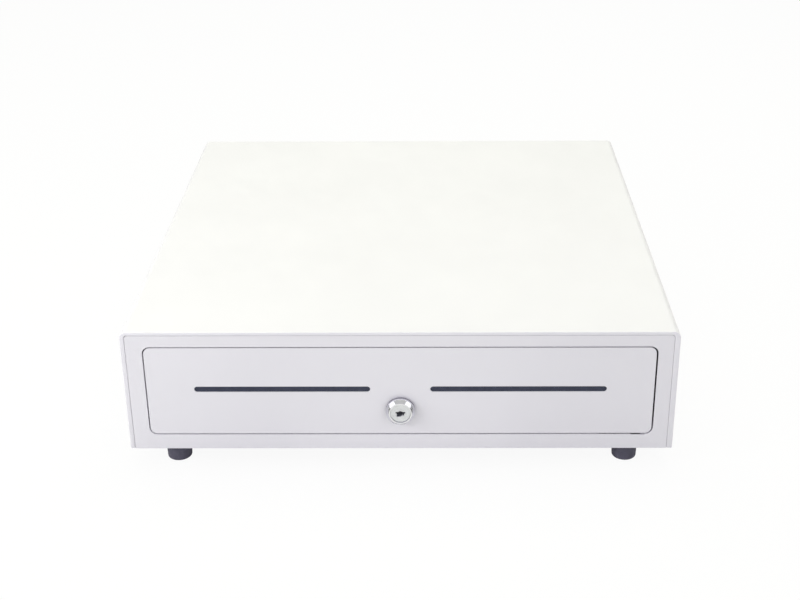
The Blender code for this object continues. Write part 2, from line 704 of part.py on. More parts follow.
def solenoid(pull):
    y, z = SOLENOID_Y, SOLENOID_Z
    left, right, low, high, half_y = -64, -30, 29.4, 56, 11.2
    path = [(right, high), (right, low), (left, low), (left, high)]
    frame = thickened(fillet(path, [0, 1.8, 1.8, 0], 3, closed=False), -1.5)
    part("solenoid_frame", ZINC, [prism("Y", frame, y - half_y, y + half_y)],
         [rod("X", (y, z), 4.6, right - 3, right + 2, 20)])
    part("solenoid_coil", COPPER, [tube("X", (y, z), 10.5, 4.4, left + 1.8, right - 1.8, 24)])
    rear_end, shoulder, pin_x, pin_play = left + 6, right + 6, -14, 1.95
    tongue = block(shoulder - 8, pin_x + 4, y - 3.6, y + 3.6, z - 0.8, z + 1)
    hole = prism("Z", rounded_box(pin_x - pin_play, pin_x + pin_play, y - 2.5, y + 2.5, 1.6), z - 2, z + 3)
    part("solenoid_plunger", BRIGHT_STEEL, [rod("X", (y, z), 4.0, rear_end, shoulder, 20), tongue], [hole],
         origin=(rear_end, y, z), parent=pull)


def striker(drawer):
    """Bracket on the pan's rear wall: a hook for the latch and a tab for the switch."""
    left, step, right, tab_low, hook_low, high = -8, 44, 56, 30, 38.5, 47
    plate = [(left, hook_low), (step, hook_low), (step, tab_low), (right, tab_low), (right, high),
             (left, high)]
    plate_y, hook_y = PAN_REAR + 0.3, 362.5
    root = plate_y + 0.7
    hook_arm = block(3.0, 4.5, root, hook_y, hook_low + 0.2, high - 2.5)
    hook_lip = block(-2.4, 4.0, hook_y - 1.5, hook_y - 0.2, hook_low + 0.4, high - 2.7)
    switch_tab = block(50, 51.2, root, 361.4, tab_low + 0.4, 36)
    part("striker", ZINC, [prism("Y", plate, plate_y, plate_y + 1.5), hook_arm, hook_lip, switch_tab],
         parent=drawer)


def switch(hinge):
    x, y = SWITCH_HINGE
    low, front, button_x = 29.4, y + 1.4, x + 11.9
    case = block(x - 1.3, x + 18.7, front, front + 10, low, low + 6.4)
    button = block(button_x - 1.2, button_x + 1.2, front - 1.5, front + 0.8, low + 1.8, low + 4.6)
    part("switch_body", BLACK_PLASTIC, [case, button])
    blade = block(x - 0.7, x + 20.7, y - 1.3, y - 0.6, low + 1, low + 5.4)
    knuckle = rod("Z", (x, y), 0.9, low + 1.2, low + 5.2, 12)
    part("switch_lever", BRIGHT_STEEL, [blade, knuckle], origin=(x, y, low + 1), parent=hinge)


def kicker(push):
    """Spring plunger that starts the drawer on its way when the latch lets go."""
    centre = (KICKER_X, KICKER_Z)
    x0, x1, front, rear = KICKER_X - 12, KICKER_X + 12, 372, 407
    bore_end, radius = rear - 3, 6.0
    part("kicker_guide", NYLON, [block(x0, x1, front, rear, 3.0, KICKER_Z + 11)],
         [rod("Y", centre, radius + 0.4, front - 1, bore_end, 20)])
    nose, hollow, tail = PAN_REAR + 0.5, 358, 400
    shaft = [(nose, 0), (nose, 4.0), (nose + 1.5, radius), (tail, radius),
             (tail, 4.6), (hollow, 4.6), (hollow, 0)]
    part("kicker_plunger", NYLON, [lathe("Y", centre, shaft, 20)], origin=(KICKER_X, nose, KICKER_Z),
         parent=push)
    wire("kicker_spring", BRIGHT_STEEL, helix("Y", centre, 3.6, hollow + 0.7, bore_end - 0.7, 7), WIRE_R)


def electronics():
    """Driver board on the back panel's shelf, and the modular socket above it."""
    x, low = SOCKET_X, 19.8
    top = low + 1.6
    board = block(x - 26, x + 22, 384, 412.5, low, top)
    coil_header = block(x - 23, x - 15, 387, 393, top - 0.4, top + 6.6)
    switch_header = block(x - 8, x + 4, 386, 391.5, top - 0.4, top + 5.6)
    capacitor = rod("Z", (x + 14, 391), 4, top - 0.4, top + 10.6, 16)
    part("circuit_board", BOARD_GREEN, [board, coil_header, switch_header, capacitor])
    jack = block(x - 5.2, x + 5.2, 403, 416, 24, 32.4)
    latch_groove = block(x - 2.6, x + 2.6, 403, 416, 31, 33.6)
    housing = block(x - 7, x + 7, 398, 414.6, top + 0.3, 34.8)
    part("cable_socket", BLACK_PLASTIC, [housing], [jack, latch_groove])


# ---------------------------------------------------------------- assembly


def build_case():
    outer_cover()
    front_frame()
    chassis_base()
    back_panel()
    back_screws()
    feet()
    lock_keeper()
    latch_bracket()
    electronics()


def build_drawer():
    drawer = joint_empty("drawer_motion", (0, 0, PAN_LOW))
    cages = {}
    for side in ("left", "right"):
        cages[side] = joint_empty(f"ball_cage_{side}_motion", (0, CAGE_Y[0], SLIDE_Z))
    slides(drawer, cages)
    drawer_front(drawer)
    drawer_pan(drawer)
    media_chutes(drawer)
    lock_barrel(drawer)
    lock_core(joint_empty("lock_axis", (0, 0, LOCK_Z)))
    cash_tray(drawer)
    coin_tray(drawer)
    hinges = []
    for number, x in enumerate(clip_centres(), 1):
        hinges.append(joint_empty(f"note_clip_{number}_axis", (x, CLIP_Y, CLIP_Z)))
    note_clips(drawer, hinges)
    striker(drawer)


def build_mechanism():
    latch(joint_empty("latch_axis", (*LATCH_PIVOT, LATCH_Z[0])))
    solenoid(joint_empty("plunger_motion", (-58, SOLENOID_Y, SOLENOID_Z)))
    switch(joint_empty("switch_axis", (*SWITCH_HINGE, 30.4)))
    kicker(joint_empty("kicker_motion", (KICKER_X, 350.5, KICKER_Z)))


def main():
    clear_scene()
    build_case()
    build_drawer()
    build_mechanism()


main()
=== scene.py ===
"""Cash drawer: its looks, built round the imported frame.

Shapes are given in millimetres from the case datum (X from the centre plane, Y rearwards
from the case's front edge, Z up from the case's underside), and a mesh becomes metres in the
row frame when it is made. Places come from the frame's own nodes through Box.
"""

import json
import math

import bmesh
import bpy
from mathutils import Matrix, Vector

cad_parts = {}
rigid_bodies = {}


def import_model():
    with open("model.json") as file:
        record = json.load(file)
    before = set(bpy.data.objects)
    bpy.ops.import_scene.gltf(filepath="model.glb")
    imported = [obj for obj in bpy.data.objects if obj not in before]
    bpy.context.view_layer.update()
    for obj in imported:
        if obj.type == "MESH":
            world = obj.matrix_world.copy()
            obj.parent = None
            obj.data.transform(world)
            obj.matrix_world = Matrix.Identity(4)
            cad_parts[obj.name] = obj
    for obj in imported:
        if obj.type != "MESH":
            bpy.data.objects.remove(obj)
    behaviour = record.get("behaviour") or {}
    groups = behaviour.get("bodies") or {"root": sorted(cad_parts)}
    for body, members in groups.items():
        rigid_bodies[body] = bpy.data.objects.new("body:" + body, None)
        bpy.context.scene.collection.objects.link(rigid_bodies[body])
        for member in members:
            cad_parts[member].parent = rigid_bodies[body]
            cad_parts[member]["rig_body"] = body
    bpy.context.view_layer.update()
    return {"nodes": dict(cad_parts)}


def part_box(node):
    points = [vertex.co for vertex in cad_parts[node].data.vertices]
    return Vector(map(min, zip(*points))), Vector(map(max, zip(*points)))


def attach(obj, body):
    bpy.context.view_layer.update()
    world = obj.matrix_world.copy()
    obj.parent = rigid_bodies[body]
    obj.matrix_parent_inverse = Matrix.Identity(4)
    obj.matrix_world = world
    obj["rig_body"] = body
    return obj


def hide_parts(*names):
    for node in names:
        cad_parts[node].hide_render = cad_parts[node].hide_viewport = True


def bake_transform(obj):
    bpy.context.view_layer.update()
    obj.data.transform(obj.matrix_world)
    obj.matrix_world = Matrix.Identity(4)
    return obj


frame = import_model()

MM = 0.001
CASE_LOW, CASE_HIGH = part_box("outer_cover")
DATUM = Vector((0.0, CASE_LOW.y, CASE_LOW.z))
SHEET = 1.2
ARC_STEPS = 8
SHARP_ANGLE = 48  # degrees between faces, above which shading breaks


class Box:
    """A CAD node's box at rest, in millimetres from the case datum."""

    def __init__(self, node):
        low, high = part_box(node)
        self.x0, self.y0, self.z0 = (low - DATUM) / MM
        self.x1, self.y1, self.z1 = (high - DATUM) / MM
        self.x, self.y, self.z = (low + high - 2 * DATUM) / (2 * MM)


# ---- outlines


def fillet(corners, radius, steps=ARC_STEPS, closed=True):
    """The corners of an outline, each turned into an arc (a radius of 0 keeps it)."""
    radii = radius if isinstance(radius, (list, tuple)) else [radius] * len(corners)
    points = []
    for i, corner in enumerate(corners):
        at = Vector(corner)
        end = not closed and i in (0, len(corners) - 1)
        if end or radii[i] == 0:
            points.append(at)
            continue
        before = (Vector(corners[i - 1]) - at).normalized()
        after = (Vector(corners[(i + 1) % len(corners)]) - at).normalized()
        half = before.angle(after) / 2
        centre = at + (before + after).normalized() * radii[i] / math.sin(half)
        first = at + before * radii[i] / math.tan(half) - centre
        last = at + after * radii[i] / math.tan(half) - centre
        turn = first.angle_signed(last)
        for step in range(steps + 1):
            points.append(centre + Matrix.Rotation(-turn * step / steps, 2) @ first)
    return points


def rounded_box(x0, x1, z0, z1, radius, steps=ARC_STEPS):
    return fillet([(x0, z0), (x1, z0), (x1, z1), (x0, z1)], radius, steps)


def quarter_turn(steps):
    return [math.pi / 2 * i / steps for i in range(steps + 1)]


def circle(centre, radius, segments):
    turns = [2 * math.pi * i / segments for i in range(segments)]
    middle = Vector(centre)
    return [middle + radius * Vector((math.cos(a), math.sin(a))) for a in turns]


def offset(path, distance):
    """An open path moved to its left by a distance, with mitred corners."""
    points = [Vector(p) for p in path]
    sides = [(b - a).normalized() for a, b in zip(points, points[1:])]
    normals = [Vector((-side.y, side.x)) for side in sides]
    moved = []
    for i, point in enumerate(points):
        before, after = normals[max(i - 1, 0)], normals[min(i, len(normals) - 1)]
        moved.append(point + (before + after) * distance / (1 + before.dot(after)))
    return moved


def thickened(path, thickness):
    """A bent sheet's cross-section: the path, and back along its left side."""
    return [Vector(p) for p in path] + offset(path, thickness)[::-1]


# ---- solids


def on_axis(axis, flat, along):
    u, v = flat
    if axis == "X":
        return Vector((along, u, v))
    if axis == "Y":
        return Vector((u, along, v))
    return Vector((u, v, along))


def loft(rings):
    """A closed solid through rings of points, capped at both ends."""
    bm = bmesh.new()
    made = [[bm.verts.new(p) for p in ring] for ring in rings]
    bm.faces.new(made[0][::-1])
    bm.faces.new(made[-1])
    for one, two in zip(made, made[1:]):
        for i in range(len(one)):
            j = (i + 1) % len(one)
            bm.faces.new((one[i], one[j], two[j], two[i]))
    bmesh.ops.recalc_face_normals(bm, faces=bm.faces)
    return bm


def prism(axis, outline, low, high):
    return loft([[on_axis(axis, p, low) for p in outline], [on_axis(axis, p, high) for p in outline]])


def block(x0, x1, y0, y1, z0, z1):
    return prism("Z", [(x0, y0), (x1, y0), (x1, y1), (x0, y1)], z0, z1)


def lathe(axis, centre, profile, segments=48):
    """A turned solid from (along, radius) points. A profile that never meets the axis makes a ring."""
    bm = bmesh.new()
    rings = []
    for along, radius in profile:
        if radius == 0:
            rings.append([bm.verts.new(on_axis(axis, centre, along))])
        else:
            rings.append([bm.verts.new(on_axis(axis, p, along)) for p in circle(centre, radius, segments)])
    pairs = list(zip(rings, rings[1:]))
    if profile[0][1] != 0:
        pairs.append((rings[-1], rings[0]))
    for one, two in pairs:
        for i in range(segments):
            corners = []
            for ring, k in ((one, i), (one, i + 1), (two, i + 1), (two, i)):
                vert = ring[k % len(ring)]
                if vert not in corners:
                    corners.append(vert)
            bm.faces.new(corners)
    bmesh.ops.recalc_face_normals(bm, faces=bm.faces)
    return bm


def rod(axis, centre, radius, low, high, segments=32, chamfer=0.0):
    if chamfer:
        profile = [(low, 0), (low, radius - chamfer), (low + chamfer, radius),
                   (high - chamfer, radius), (high, radius - chamfer), (high, 0)]
    else:
        profile = [(low, 0), (low, radius), (high, radius), (high, 0)]
    return lathe(axis, centre, profile, segments)


def ball(centre, radius, segments=20):
    bm = bmesh.new()
    place = Matrix.Translation(centre)
    bmesh.ops.create_uvsphere(bm, u_segments=segments, v_segments=segments // 2, radius=radius, matrix=place)
    return bm


def scoop(x0, x1, y0, y1, z0, z1, floor_r, corner_r, steps=7):
    """The room of a moulded cup: rounded upright corners and a bowl-shaped floor."""
    rings = []
    for turn in quarter_turn(steps):
        inset = floor_r * (1 - math.sin(turn))
        height = z0 + floor_r * (1 - math.cos(turn))
        radius = max(corner_r - inset * 0.35, 0.4)
        ring = rounded_box(x0 + inset, x1 - inset, y0 + inset, y1 - inset, radius, 5)
        rings.append([on_axis("Z", p, height) for p in ring])
    top = rounded_box(x0, x1, y0, y1, corner_r, 5)
    rings.append([on_axis("Z", p, z1) for p in top])
    return loft(rings)


def coil(axis, centre, radius, low, high, turns):
    per_turn = 24
    count = turns * per_turn
    points = []
    for i in range(count + 1):
        angle = 2 * math.pi * i / per_turn
        flat = Vector(centre) + radius * Vector((math.cos(angle), math.sin(angle)))
        points.append(on_axis(axis, flat, low + (high - low) * i / count))
    return points


def pipe(points, radius, segments=10):
    """A round wire through points, its rings turned as little as possible from one to the next."""
    points = [Vector(p) for p in points]
    rings = []
    tangent = (points[1] - points[0]).normalized()
    side = tangent.orthogonal().normalized()
    for i, point in enumerate(points):
        ahead = points[min(i + 1, len(points) - 1)]
        behind = points[max(i - 1, 0)]
        following = (ahead - behind).normalized()
        side = (tangent.rotation_difference(following) @ side).normalized()
        tangent = following
        up = tangent.cross(side)
        ring = []
        for k in range(segments):
            angle = 2 * math.pi * k / segments
            ring.append(point + radius * (math.cos(angle) * side + math.sin(angle) * up))
        rings.append(ring)
    return loft(rings)


def bent(points, radius, steps=6):
    """A wire's route with each corner rounded."""
    route = [Vector(points[0])]
    for before, at, after in zip(points, points[1:], points[2:]):
        at = Vector(at)
        into = Vector(before) - at
        out = Vector(after) - at
        reach = min(radius, into.length / 2, out.length / 2)
        start = at + into.normalized() * reach
        stop = at + out.normalized() * reach
        for i in range(steps + 1):
            t = i / steps
            route.append(start * (1 - t) ** 2 + at * 2 * t * (1 - t) + stop * t ** 2)
    route.append(Vector(points[-1]))
    return route


# ---- pieces


def mesh_from(name, bm):
    bmesh.ops.scale(bm, verts=bm.verts, vec=(MM, MM, MM))
    bmesh.ops.translate(bm, verts=bm.verts, vec=DATUM)
    mesh = bpy.data.meshes.new(name)
    bm.to_mesh(mesh)
    bm.free()
    return mesh


def linked(name, mesh):
    obj = bpy.data.objects.new(name, mesh)
    bpy.context.scene.collection.objects.link(obj)
    return obj


def add_boolean(host, operation, shapes):
    helpers = bpy.data.collections.new(f"{host.name}_{operation}")
    bpy.context.scene.collection.children.link(helpers)
    for i, bm in enumerate(shapes):
        label = f"{host.name}_{operation}_{i}"
        helpers.objects.link(bpy.data.objects.new(label, mesh_from(label, bm)))
    modifier = host.modifiers.new(operation, "BOOLEAN")
    modifier.operation = operation
    modifier.operand_type = "COLLECTION"
    modifier.collection = helpers
    modifier.solver = "EXACT"
    return helpers


def round_edges(obj, width, segments, angle):
    bevel = obj.modifiers.new("edges", "BEVEL")
    bevel.width = width * MM
    bevel.segments = segments
    bevel.limit_method = "ANGLE"
    bevel.angle_limit = math.radians(angle)
    bevel.use_clamp_overlap = True
    bevel.miter_outer = "MITER_ARC"
    shading = obj.modifiers.new("shading", "WEIGHTED_NORMAL")
    shading.keep_sharp = True
    shading.weight = 60


def baked(obj, helpers=()):
    """Applies every modifier, then removes the helpers that they used."""
    graph = bpy.context.evaluated_depsgraph_get()
    bpy.context.view_layer.update()
    final = obj.evaluated_get(graph)
    mesh = bpy.data.meshes.new_from_object(final, preserve_all_data_layers=True, depsgraph=graph)
    old = obj.data
    obj.modifiers.clear()
    obj.data = mesh
    mesh.name = obj.name
    bpy.data.meshes.remove(old)
    for collection in helpers:
        for helper in list(collection.objects):
            bpy.data.objects.remove(helper, do_unlink=True)
        bpy.data.collections.remove(collection)


def piece(name, body, slot, shapes, cuts=(), stands_for=(), edge=0.25, segments=2, paint=None):
    """One finished piece: shapes joined, cuts taken away, edges rounded, painted, and riding its body."""
    obj = linked(name, mesh_from(name, shapes[0]))
    helpers = []
    if len(shapes) > 1:
        helpers.append(add_boolean(obj, "UNION", shapes[1:]))
    if cuts:
        helpers.append(add_boolean(obj, "DIFFERENCE", cuts))
    obj.data.shade_smooth()
    if edge:
        round_edges(obj, edge, segments, 32)
    baked(obj, helpers)
    return finish_piece(obj, body, slot, stands_for, paint)


def finish_piece(obj, body, slot, stands_for, paint):
    """Shading, paint, and the frame's body and nodes that a piece belongs to."""
    obj.data.shade_smooth()
    obj.data.set_sharp_from_angle(angle=math.radians(SHARP_ANGLE))
    obj.data.materials.clear()
    obj.data.materials.append(paint or PAINTS[slot])
    if body:
        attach(obj, body)
    if stands_for:
        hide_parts(*stands_for)
    return obj


def turned(name, body, slot, axis, centre, profile, segments, stands_for=(), cuts=(), paint=None):
    """A piece turned on a lathe, whose profile already holds its edges."""
    piece(name, body, slot, [lathe(axis, centre, profile, segments)], cuts, stands_for, edge=0, paint=paint)


def wire(name, body, slot, points, radius, stands_for=(), paint=None, segments=10):
    return piece(name, body, slot, [pipe(points, radius, segments)], (), stands_for, edge=0, paint=paint)


def refined(node, slot, edge=0.2):
    """A CAD node's own shape with its facets merged and its edges rounded, standing for it."""
    bm = bmesh.new()
    bm.from_mesh(frame["nodes"][node].data)
    bmesh.ops.remove_doubles(bm, verts=bm.verts, dist=1e-6)
    bmesh.ops.dissolve_limit(bm, angle_limit=math.radians(0.6), verts=bm.verts, edges=bm.edges)
    bmesh.ops.recalc_face_normals(bm, faces=bm.faces)
    mesh = bpy.data.meshes.new(node)
    bm.to_mesh(mesh)
    bm.free()
    obj = linked(f"{node}_finished", mesh)
    mesh.shade_smooth()
    round_edges(obj, edge, 2, 35)
    baked(obj)
    finish_piece(obj, frame["nodes"][node]["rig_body"], slot, [node], None)


# ---- materials


class Paint:
    """A material under construction: a Principled shader and short ways to feed it."""

    def __init__(self, name, colour, roughness, metallic=0.0):
        self.colour = colour
        self.material = bpy.data.materials.new(name)
        self.material.use_nodes = True
        self.tree = self.material.node_tree
        self.shader = self.tree.nodes["Principled BSDF"]
        self.set("Base Color", (*colour, 1))
        self.set("Roughness", roughness)
        self.set("Metallic", metallic)
        self.material.diffuse_color = (*colour, 1)
        self.place = self.tree.nodes.new("ShaderNodeTexCoord").outputs["Object"]

    def set(self, socket, value):
        self.shader.inputs[socket].default_value = value

    def link(self, source, socket):
        self.tree.links.new(source, self.shader.inputs[socket])

    def node(self, kind, **values):
        made = self.tree.nodes.new(kind)
        for key, value in values.items():
            setattr(made, key, value)
        return made

    def stretched(self, scale):
        mapping = self.node("ShaderNodeMapping")
        mapping.inputs["Scale"].default_value = scale
        self.tree.links.new(self.place, mapping.inputs["Vector"])
        return mapping.outputs["Vector"]

    def noise(self, scale, detail=2.0, rough=0.5, stretch=(1, 1, 1)):
        made = self.node("ShaderNodeTexNoise")
        made.inputs["Scale"].default_value = scale
        made.inputs["Detail"].default_value = detail
        made.inputs["Roughness"].default_value = rough
        self.tree.links.new(self.stretched(stretch), made.inputs["Vector"])
        return made.outputs["Fac"]

    def cells(self, scale, output="Distance"):
        made = self.node("ShaderNodeTexVoronoi")
        made.inputs["Scale"].default_value = scale
        self.tree.links.new(self.place, made.inputs["Vector"])
        return made.outputs[output]

    def between(self, factor, low, high, start=0.3, stop=0.7):
        """Turns a 0-1 factor into numbers or colours between low and high."""
        ramp = self.node("ShaderNodeMapRange")
        ramp.inputs["From Min"].default_value = start
        ramp.inputs["From Max"].default_value = stop
        self.tree.links.new(factor, ramp.inputs["Value"])
        if not isinstance(low, tuple):
            ramp.inputs["To Min"].default_value = low
            ramp.inputs["To Max"].default_value = high
            return ramp.outputs["Result"]
        mix = self.node("ShaderNodeMix", data_type="RGBA")
        self.tree.links.new(ramp.outputs["Result"], mix.inputs["Factor"])
        mix.inputs["A"].default_value = (*low, 1)
        mix.inputs["B"].default_value = (*high, 1)
        return mix.outputs["Result"]

    def vary_colour(self, scale, detail, low, high):
        """Clouds the base colour between two shares of itself."""
        ends = shade(self.colour, low), shade(self.colour, high)
        self.link(self.between(self.noise(scale, detail), *ends), "Base Color")

    def vary_gloss(self, scale, detail, low, high, stretch=(1, 1, 1)):
        self.link(self.between(self.noise(scale, detail, stretch=stretch), low, high), "Roughness")

    def bump(self, height, depth_mm):
        made = self.node("ShaderNodeBump")
        made.inputs["Strength"].default_value = 1.0
        made.inputs["Distance"].default_value = depth_mm * MM
        self.tree.links.new(height, made.inputs["Height"])
        normal = self.shader.inputs["Normal"]
        if normal.is_linked:
            self.tree.links.new(normal.links[0].from_socket, made.inputs["Normal"])
        self.tree.links.new(made.outputs["Normal"], normal)


def shade(colour, by):
    return tuple(min(1.0, c * by) for c in colour)


def powder_coat(name, colour):
    """Baked powder paint: orange peel, a finer grain, and a slightly uneven gloss."""
    paint = Paint(name, colour, 0.42)
    paint.vary_colour(9, 3, 0.985, 1.01)
    paint.vary_gloss(60, 4, 0.36, 0.50)
    paint.bump(paint.noise(520, 2), 0.018)
    paint.bump(paint.noise(2600, 1), 0.006)
    paint.set("Coat Weight", 0.12)
    paint.set("Coat Roughness", 0.25)
    return paint.material


def zinc_plate(name, colour):
    """Zinc-plated sheet: faint spangles, cloudy passivation and rolling lines."""
    paint = Paint(name, colour, 0.38, 1.0)
    cloudy = paint.between(paint.noise(28, 5, 0.6), shade(colour, 0.86), (0.70, 0.69, 0.62))
    paint.link(cloudy, "Base Color")
    paint.link(paint.between(paint.cells(210, output="Color"), 0.30, 0.52, 0.0, 1.0), "Roughness")
    paint.bump(paint.noise(900, 2, stretch=(1, 0.05, 1)), 0.008)
    paint.bump(paint.noise(140, 3), 0.01)
    return paint.material


def bright_steel(name, colour):
    """Drawn or ground steel: fine lines one way, patches of handling haze."""
    paint, lines = Paint(name, colour, 0.28, 1.0), (1, 0.02, 1)
    paint.vary_colour(35, 4, 0.88, 1.06)
    paint.vary_gloss(2200, 2, 0.18, 0.38, lines)
    paint.bump(paint.noise(3000, 2, stretch=lines), 0.004)
    return paint.material


def chrome_plate(name, colour):
    """Polished chrome with the light haze and hairlines that keys leave."""
    paint = Paint(name, colour, 0.08, 1.0)
    paint.vary_gloss(160, 4, 0.05, 0.13)
    paint.bump(paint.noise(1500, 1, stretch=(1, 1, 0.06)), 0.0015)
    paint.bump(paint.noise(90, 2), 0.004)
    return paint.material


def lathed_face(name, colour, centre):
    """A faced-off metal disc: rings round the axis, dulled a little."""
    paint = Paint(name, colour, 0.3, 1.0)
    away = paint.node("ShaderNodeVectorMath", operation="SUBTRACT")
    away.inputs[1].default_value = centre
    paint.tree.links.new(paint.place, away.inputs[0])
    flat = paint.node("ShaderNodeVectorMath", operation="MULTIPLY")
    flat.inputs[1].default_value = (1, 0, 1)
    paint.tree.links.new(away.outputs["Vector"], flat.inputs[0])
    reach = paint.node("ShaderNodeVectorMath", operation="LENGTH")
    paint.tree.links.new(flat.outputs["Vector"], reach.inputs[0])
    rings = paint.node("ShaderNodeTexNoise", noise_dimensions="1D")
    rings.inputs["Scale"].default_value = 5200
    paint.tree.links.new(reach.outputs["Value"], rings.inputs["W"])
    paint.link(paint.between(rings.outputs["Fac"], 0.26, 0.44), "Roughness")
    paint.vary_colour(240, 3, 0.93, 1.03)
    paint.bump(rings.outputs["Fac"], 0.004)
    return paint.material


def moulded(name, colour, roughness, grain=2200, depth=0.02):
    """Spark-eroded plastic: a pebbled grain with a soft uneven gloss."""
    paint = Paint(name, colour, roughness)
    paint.vary_colour(24, 3, 0.92, 1.10)
    paint.vary_gloss(80, 3, roughness - 0.06, roughness + 0.07)
    paint.bump(paint.cells(grain), depth)
    paint.bump(paint.noise(grain * 2.3, 1), depth / 3)
    return paint.material


def rubber(name, colour):
    """Moulded rubber: matt, faintly mottled, with a talc-like bloom."""
    paint = Paint(name, colour, 0.8)
    paint.vary_colour(220, 4, 0.88, 1.14)
    paint.vary_gloss(600, 2, 0.66, 0.86)
    paint.bump(paint.noise(1500, 3), 0.03)
    paint.set("Sheen Weight", 0.12)
    return paint.material


def nylon(name, colour):
    paint = Paint(name, colour, 0.42)
    paint.vary_colour(60, 3, 0.95, 1.03)
    paint.set("Subsurface Weight", 0.2)
    paint.set("Subsurface Radius", (0.002, 0.0015, 0.001))
    paint.bump(paint.noise(900, 2), 0.012)
    return paint.material


def winding(name, colour):
    """Enamelled wire, a little darker between turns and where the varnish pooled."""
    paint = Paint(name, colour, 0.25, 0.85)
    paint.vary_colour(90, 3, 0.75, 1.2)
    paint.vary_gloss(300, 2, 0.18, 0.36)
    paint.set("Coat Weight", 0.6)
    paint.bump(paint.noise(700, 2), 0.01)
    return paint.material


def board_mask(name, colour):
    """Solder mask over copper tracks, which show as lighter, raised lines."""
    paint = Paint(name, colour, 0.3)
    tracks = paint.node("ShaderNodeTexBrick")
    tracks.inputs["Scale"].default_value = 260
    tracks.inputs["Mortar Size"].default_value = 0.06
    tracks.inputs["Color1"].default_value = (0, 0, 0, 1)
    tracks.inputs["Color2"].default_value = (0, 0, 0, 1)
    tracks.inputs["Mortar"].default_value = (1, 1, 1, 1)
    paint.tree.links.new(paint.place, tracks.inputs["Vector"])
    lines = tracks.outputs["Color"]
    paint.link(paint.between(lines, colour, (0.06, 0.30, 0.12), 0, 1), "Base Color")
    paint.bump(lines, 0.03)
    paint.vary_gloss(400, 2, 0.22, 0.36)
    paint.set("Coat Weight", 0.4)
    return paint.material


def insulation(name, colour):
    paint = Paint(name, colour, 0.4)
    paint.vary_colour(200, 2, 0.85, 1.1)
    paint.bump(paint.noise(1200, 2), 0.01)
    return paint.material


LOCK = Box("lock_barrel")
LOCK_AXIS = (LOCK.x, LOCK.z)
LOCK_WORLD = DATUM + Vector((LOCK.x, 0, LOCK.z)) * MM
PAINTS = {
    "white_paint": powder_coat("white_powder_coat", (0.798, 0.787, 0.83)),
    "drawer_paint": powder_coat("drawer_powder_coat", (0.785, 0.773, 0.812)),
    "zinc_steel": zinc_plate("zinc_plated_sheet", (0.60, 0.61, 0.62)),
    "bright_steel": bright_steel("bright_steel", (0.66, 0.66, 0.67)),
    "chrome": chrome_plate("chrome_plate", (0.80, 0.80, 0.84)),
    "foot_rubber": rubber("foot_rubber", (0.088, 0.084, 0.116)),
    "till_plastic": moulded("till_plastic", (0.026, 0.026, 0.028), 0.46),
    "coin_plastic": moulded("coin_plastic", (0.19, 0.195, 0.205), 0.42),
    "nylon": nylon("nylon", (0.74, 0.72, 0.65)),
    "coil_winding": winding("coil_winding", (0.50, 0.20, 0.08)),
    "board": board_mask("board_mask", (0.02, 0.15, 0.06)),
}
PLUG_FACE = lathed_face("lock_plug_face", (0.74, 0.75, 0.79), LOCK_WORLD)
# A darker steel for the lock collar's seat: painted shade, for the dark line where the panel next to the
# collar lies in shadow.
SEAT_SHADE_STEEL = bright_steel("dull_steel", (0.40, 0.39, 0.44))
RED_WIRE = insulation("red_wire", (0.42, 0.02, 0.02))
BLACK_WIRE = insulation("black_wire", (0.02, 0.02, 0.022))
SLOT_RUBBER = rubber("slot_rubber", (0.038, 0.044, 0.074))
WHITE_HOUSING = nylon("connector_nylon", (0.80, 0.78, 0.72))
GOLD = bright_steel("contact_gold", (0.85, 0.62, 0.25))
CHIP = moulded("chip_black", (0.018, 0.018, 0.02), 0.35, 3000, 0.01)
TAPE = insulation("coil_tape", (0.60, 0.46, 0.08))


# ---- case

COVER = Box("outer_cover")
FRONT = Box("drawer_front")
FRAME = Box("front_frame")
CORNERS = ("front_left", "front_right", "rear_left", "rear_right")
FEET = [Box(f"foot_{where}") for where in CORNERS]
BACK_SCREWS = [f"back_screw_{where}" for where in ("lower_left", "lower_right", "upper_left", "upper_right")]
FOOT_SCREWS = [f"foot_screw_{where}" for where in CORNERS]
HEM_DEPTH = 10.0
BEND_R = 5.0
SEAM = 0.2
REVEAL = 1.0
OPEN_R = 6.0
FRONT_R = OPEN_R - REVEAL
RETURN_X = 190  # half the width of the sheet edges that turn in at the case's front and back
OPENING = (FRONT.x1 + REVEAL, FRONT.z0 - REVEAL, FRONT.z1 + REVEAL)


def hem_ring(y, depth, inward):
    """The hem's outline at one depth, moved inwards a share of the way to the front plate."""
    left = COVER.x0 + (FRAME.x0 - SEAM - COVER.x0) * inward + depth
    right = COVER.x1 - (COVER.x1 - FRAME.x1 - SEAM) * inward - depth
    top = COVER.z1 - (COVER.z1 - FRAME.z1 - SEAM) * inward - depth
    radius = BEND_R - 2.6 * inward
    path = fillet([(left, 0.3), (left, top), (right, top), (right, 0.3)], radius, 10, closed=False)
    return [on_axis("Y", p, y) for p in path]


def hem():
    """The folded front edge: rounded on both sides, a little wider on the right than on the left."""
    outer_roll, inner_roll, turns = 0.4, 0.5, quarter_turn(6)
    outer = [hem_ring(outer_roll * (1 - math.sin(a)), outer_roll * (1 - math.cos(a)), 0) for a in turns]
    inner = [hem_ring(inner_roll * (1 - math.cos(a)), -inner_roll * (1 - math.sin(a)), 1) for a in turns]
    rings = [hem_ring(HEM_DEPTH, 0, 0), *outer, *inner, hem_ring(HEM_DEPTH, 0, 1)]
    return loft([list(station) for station in zip(*rings)])


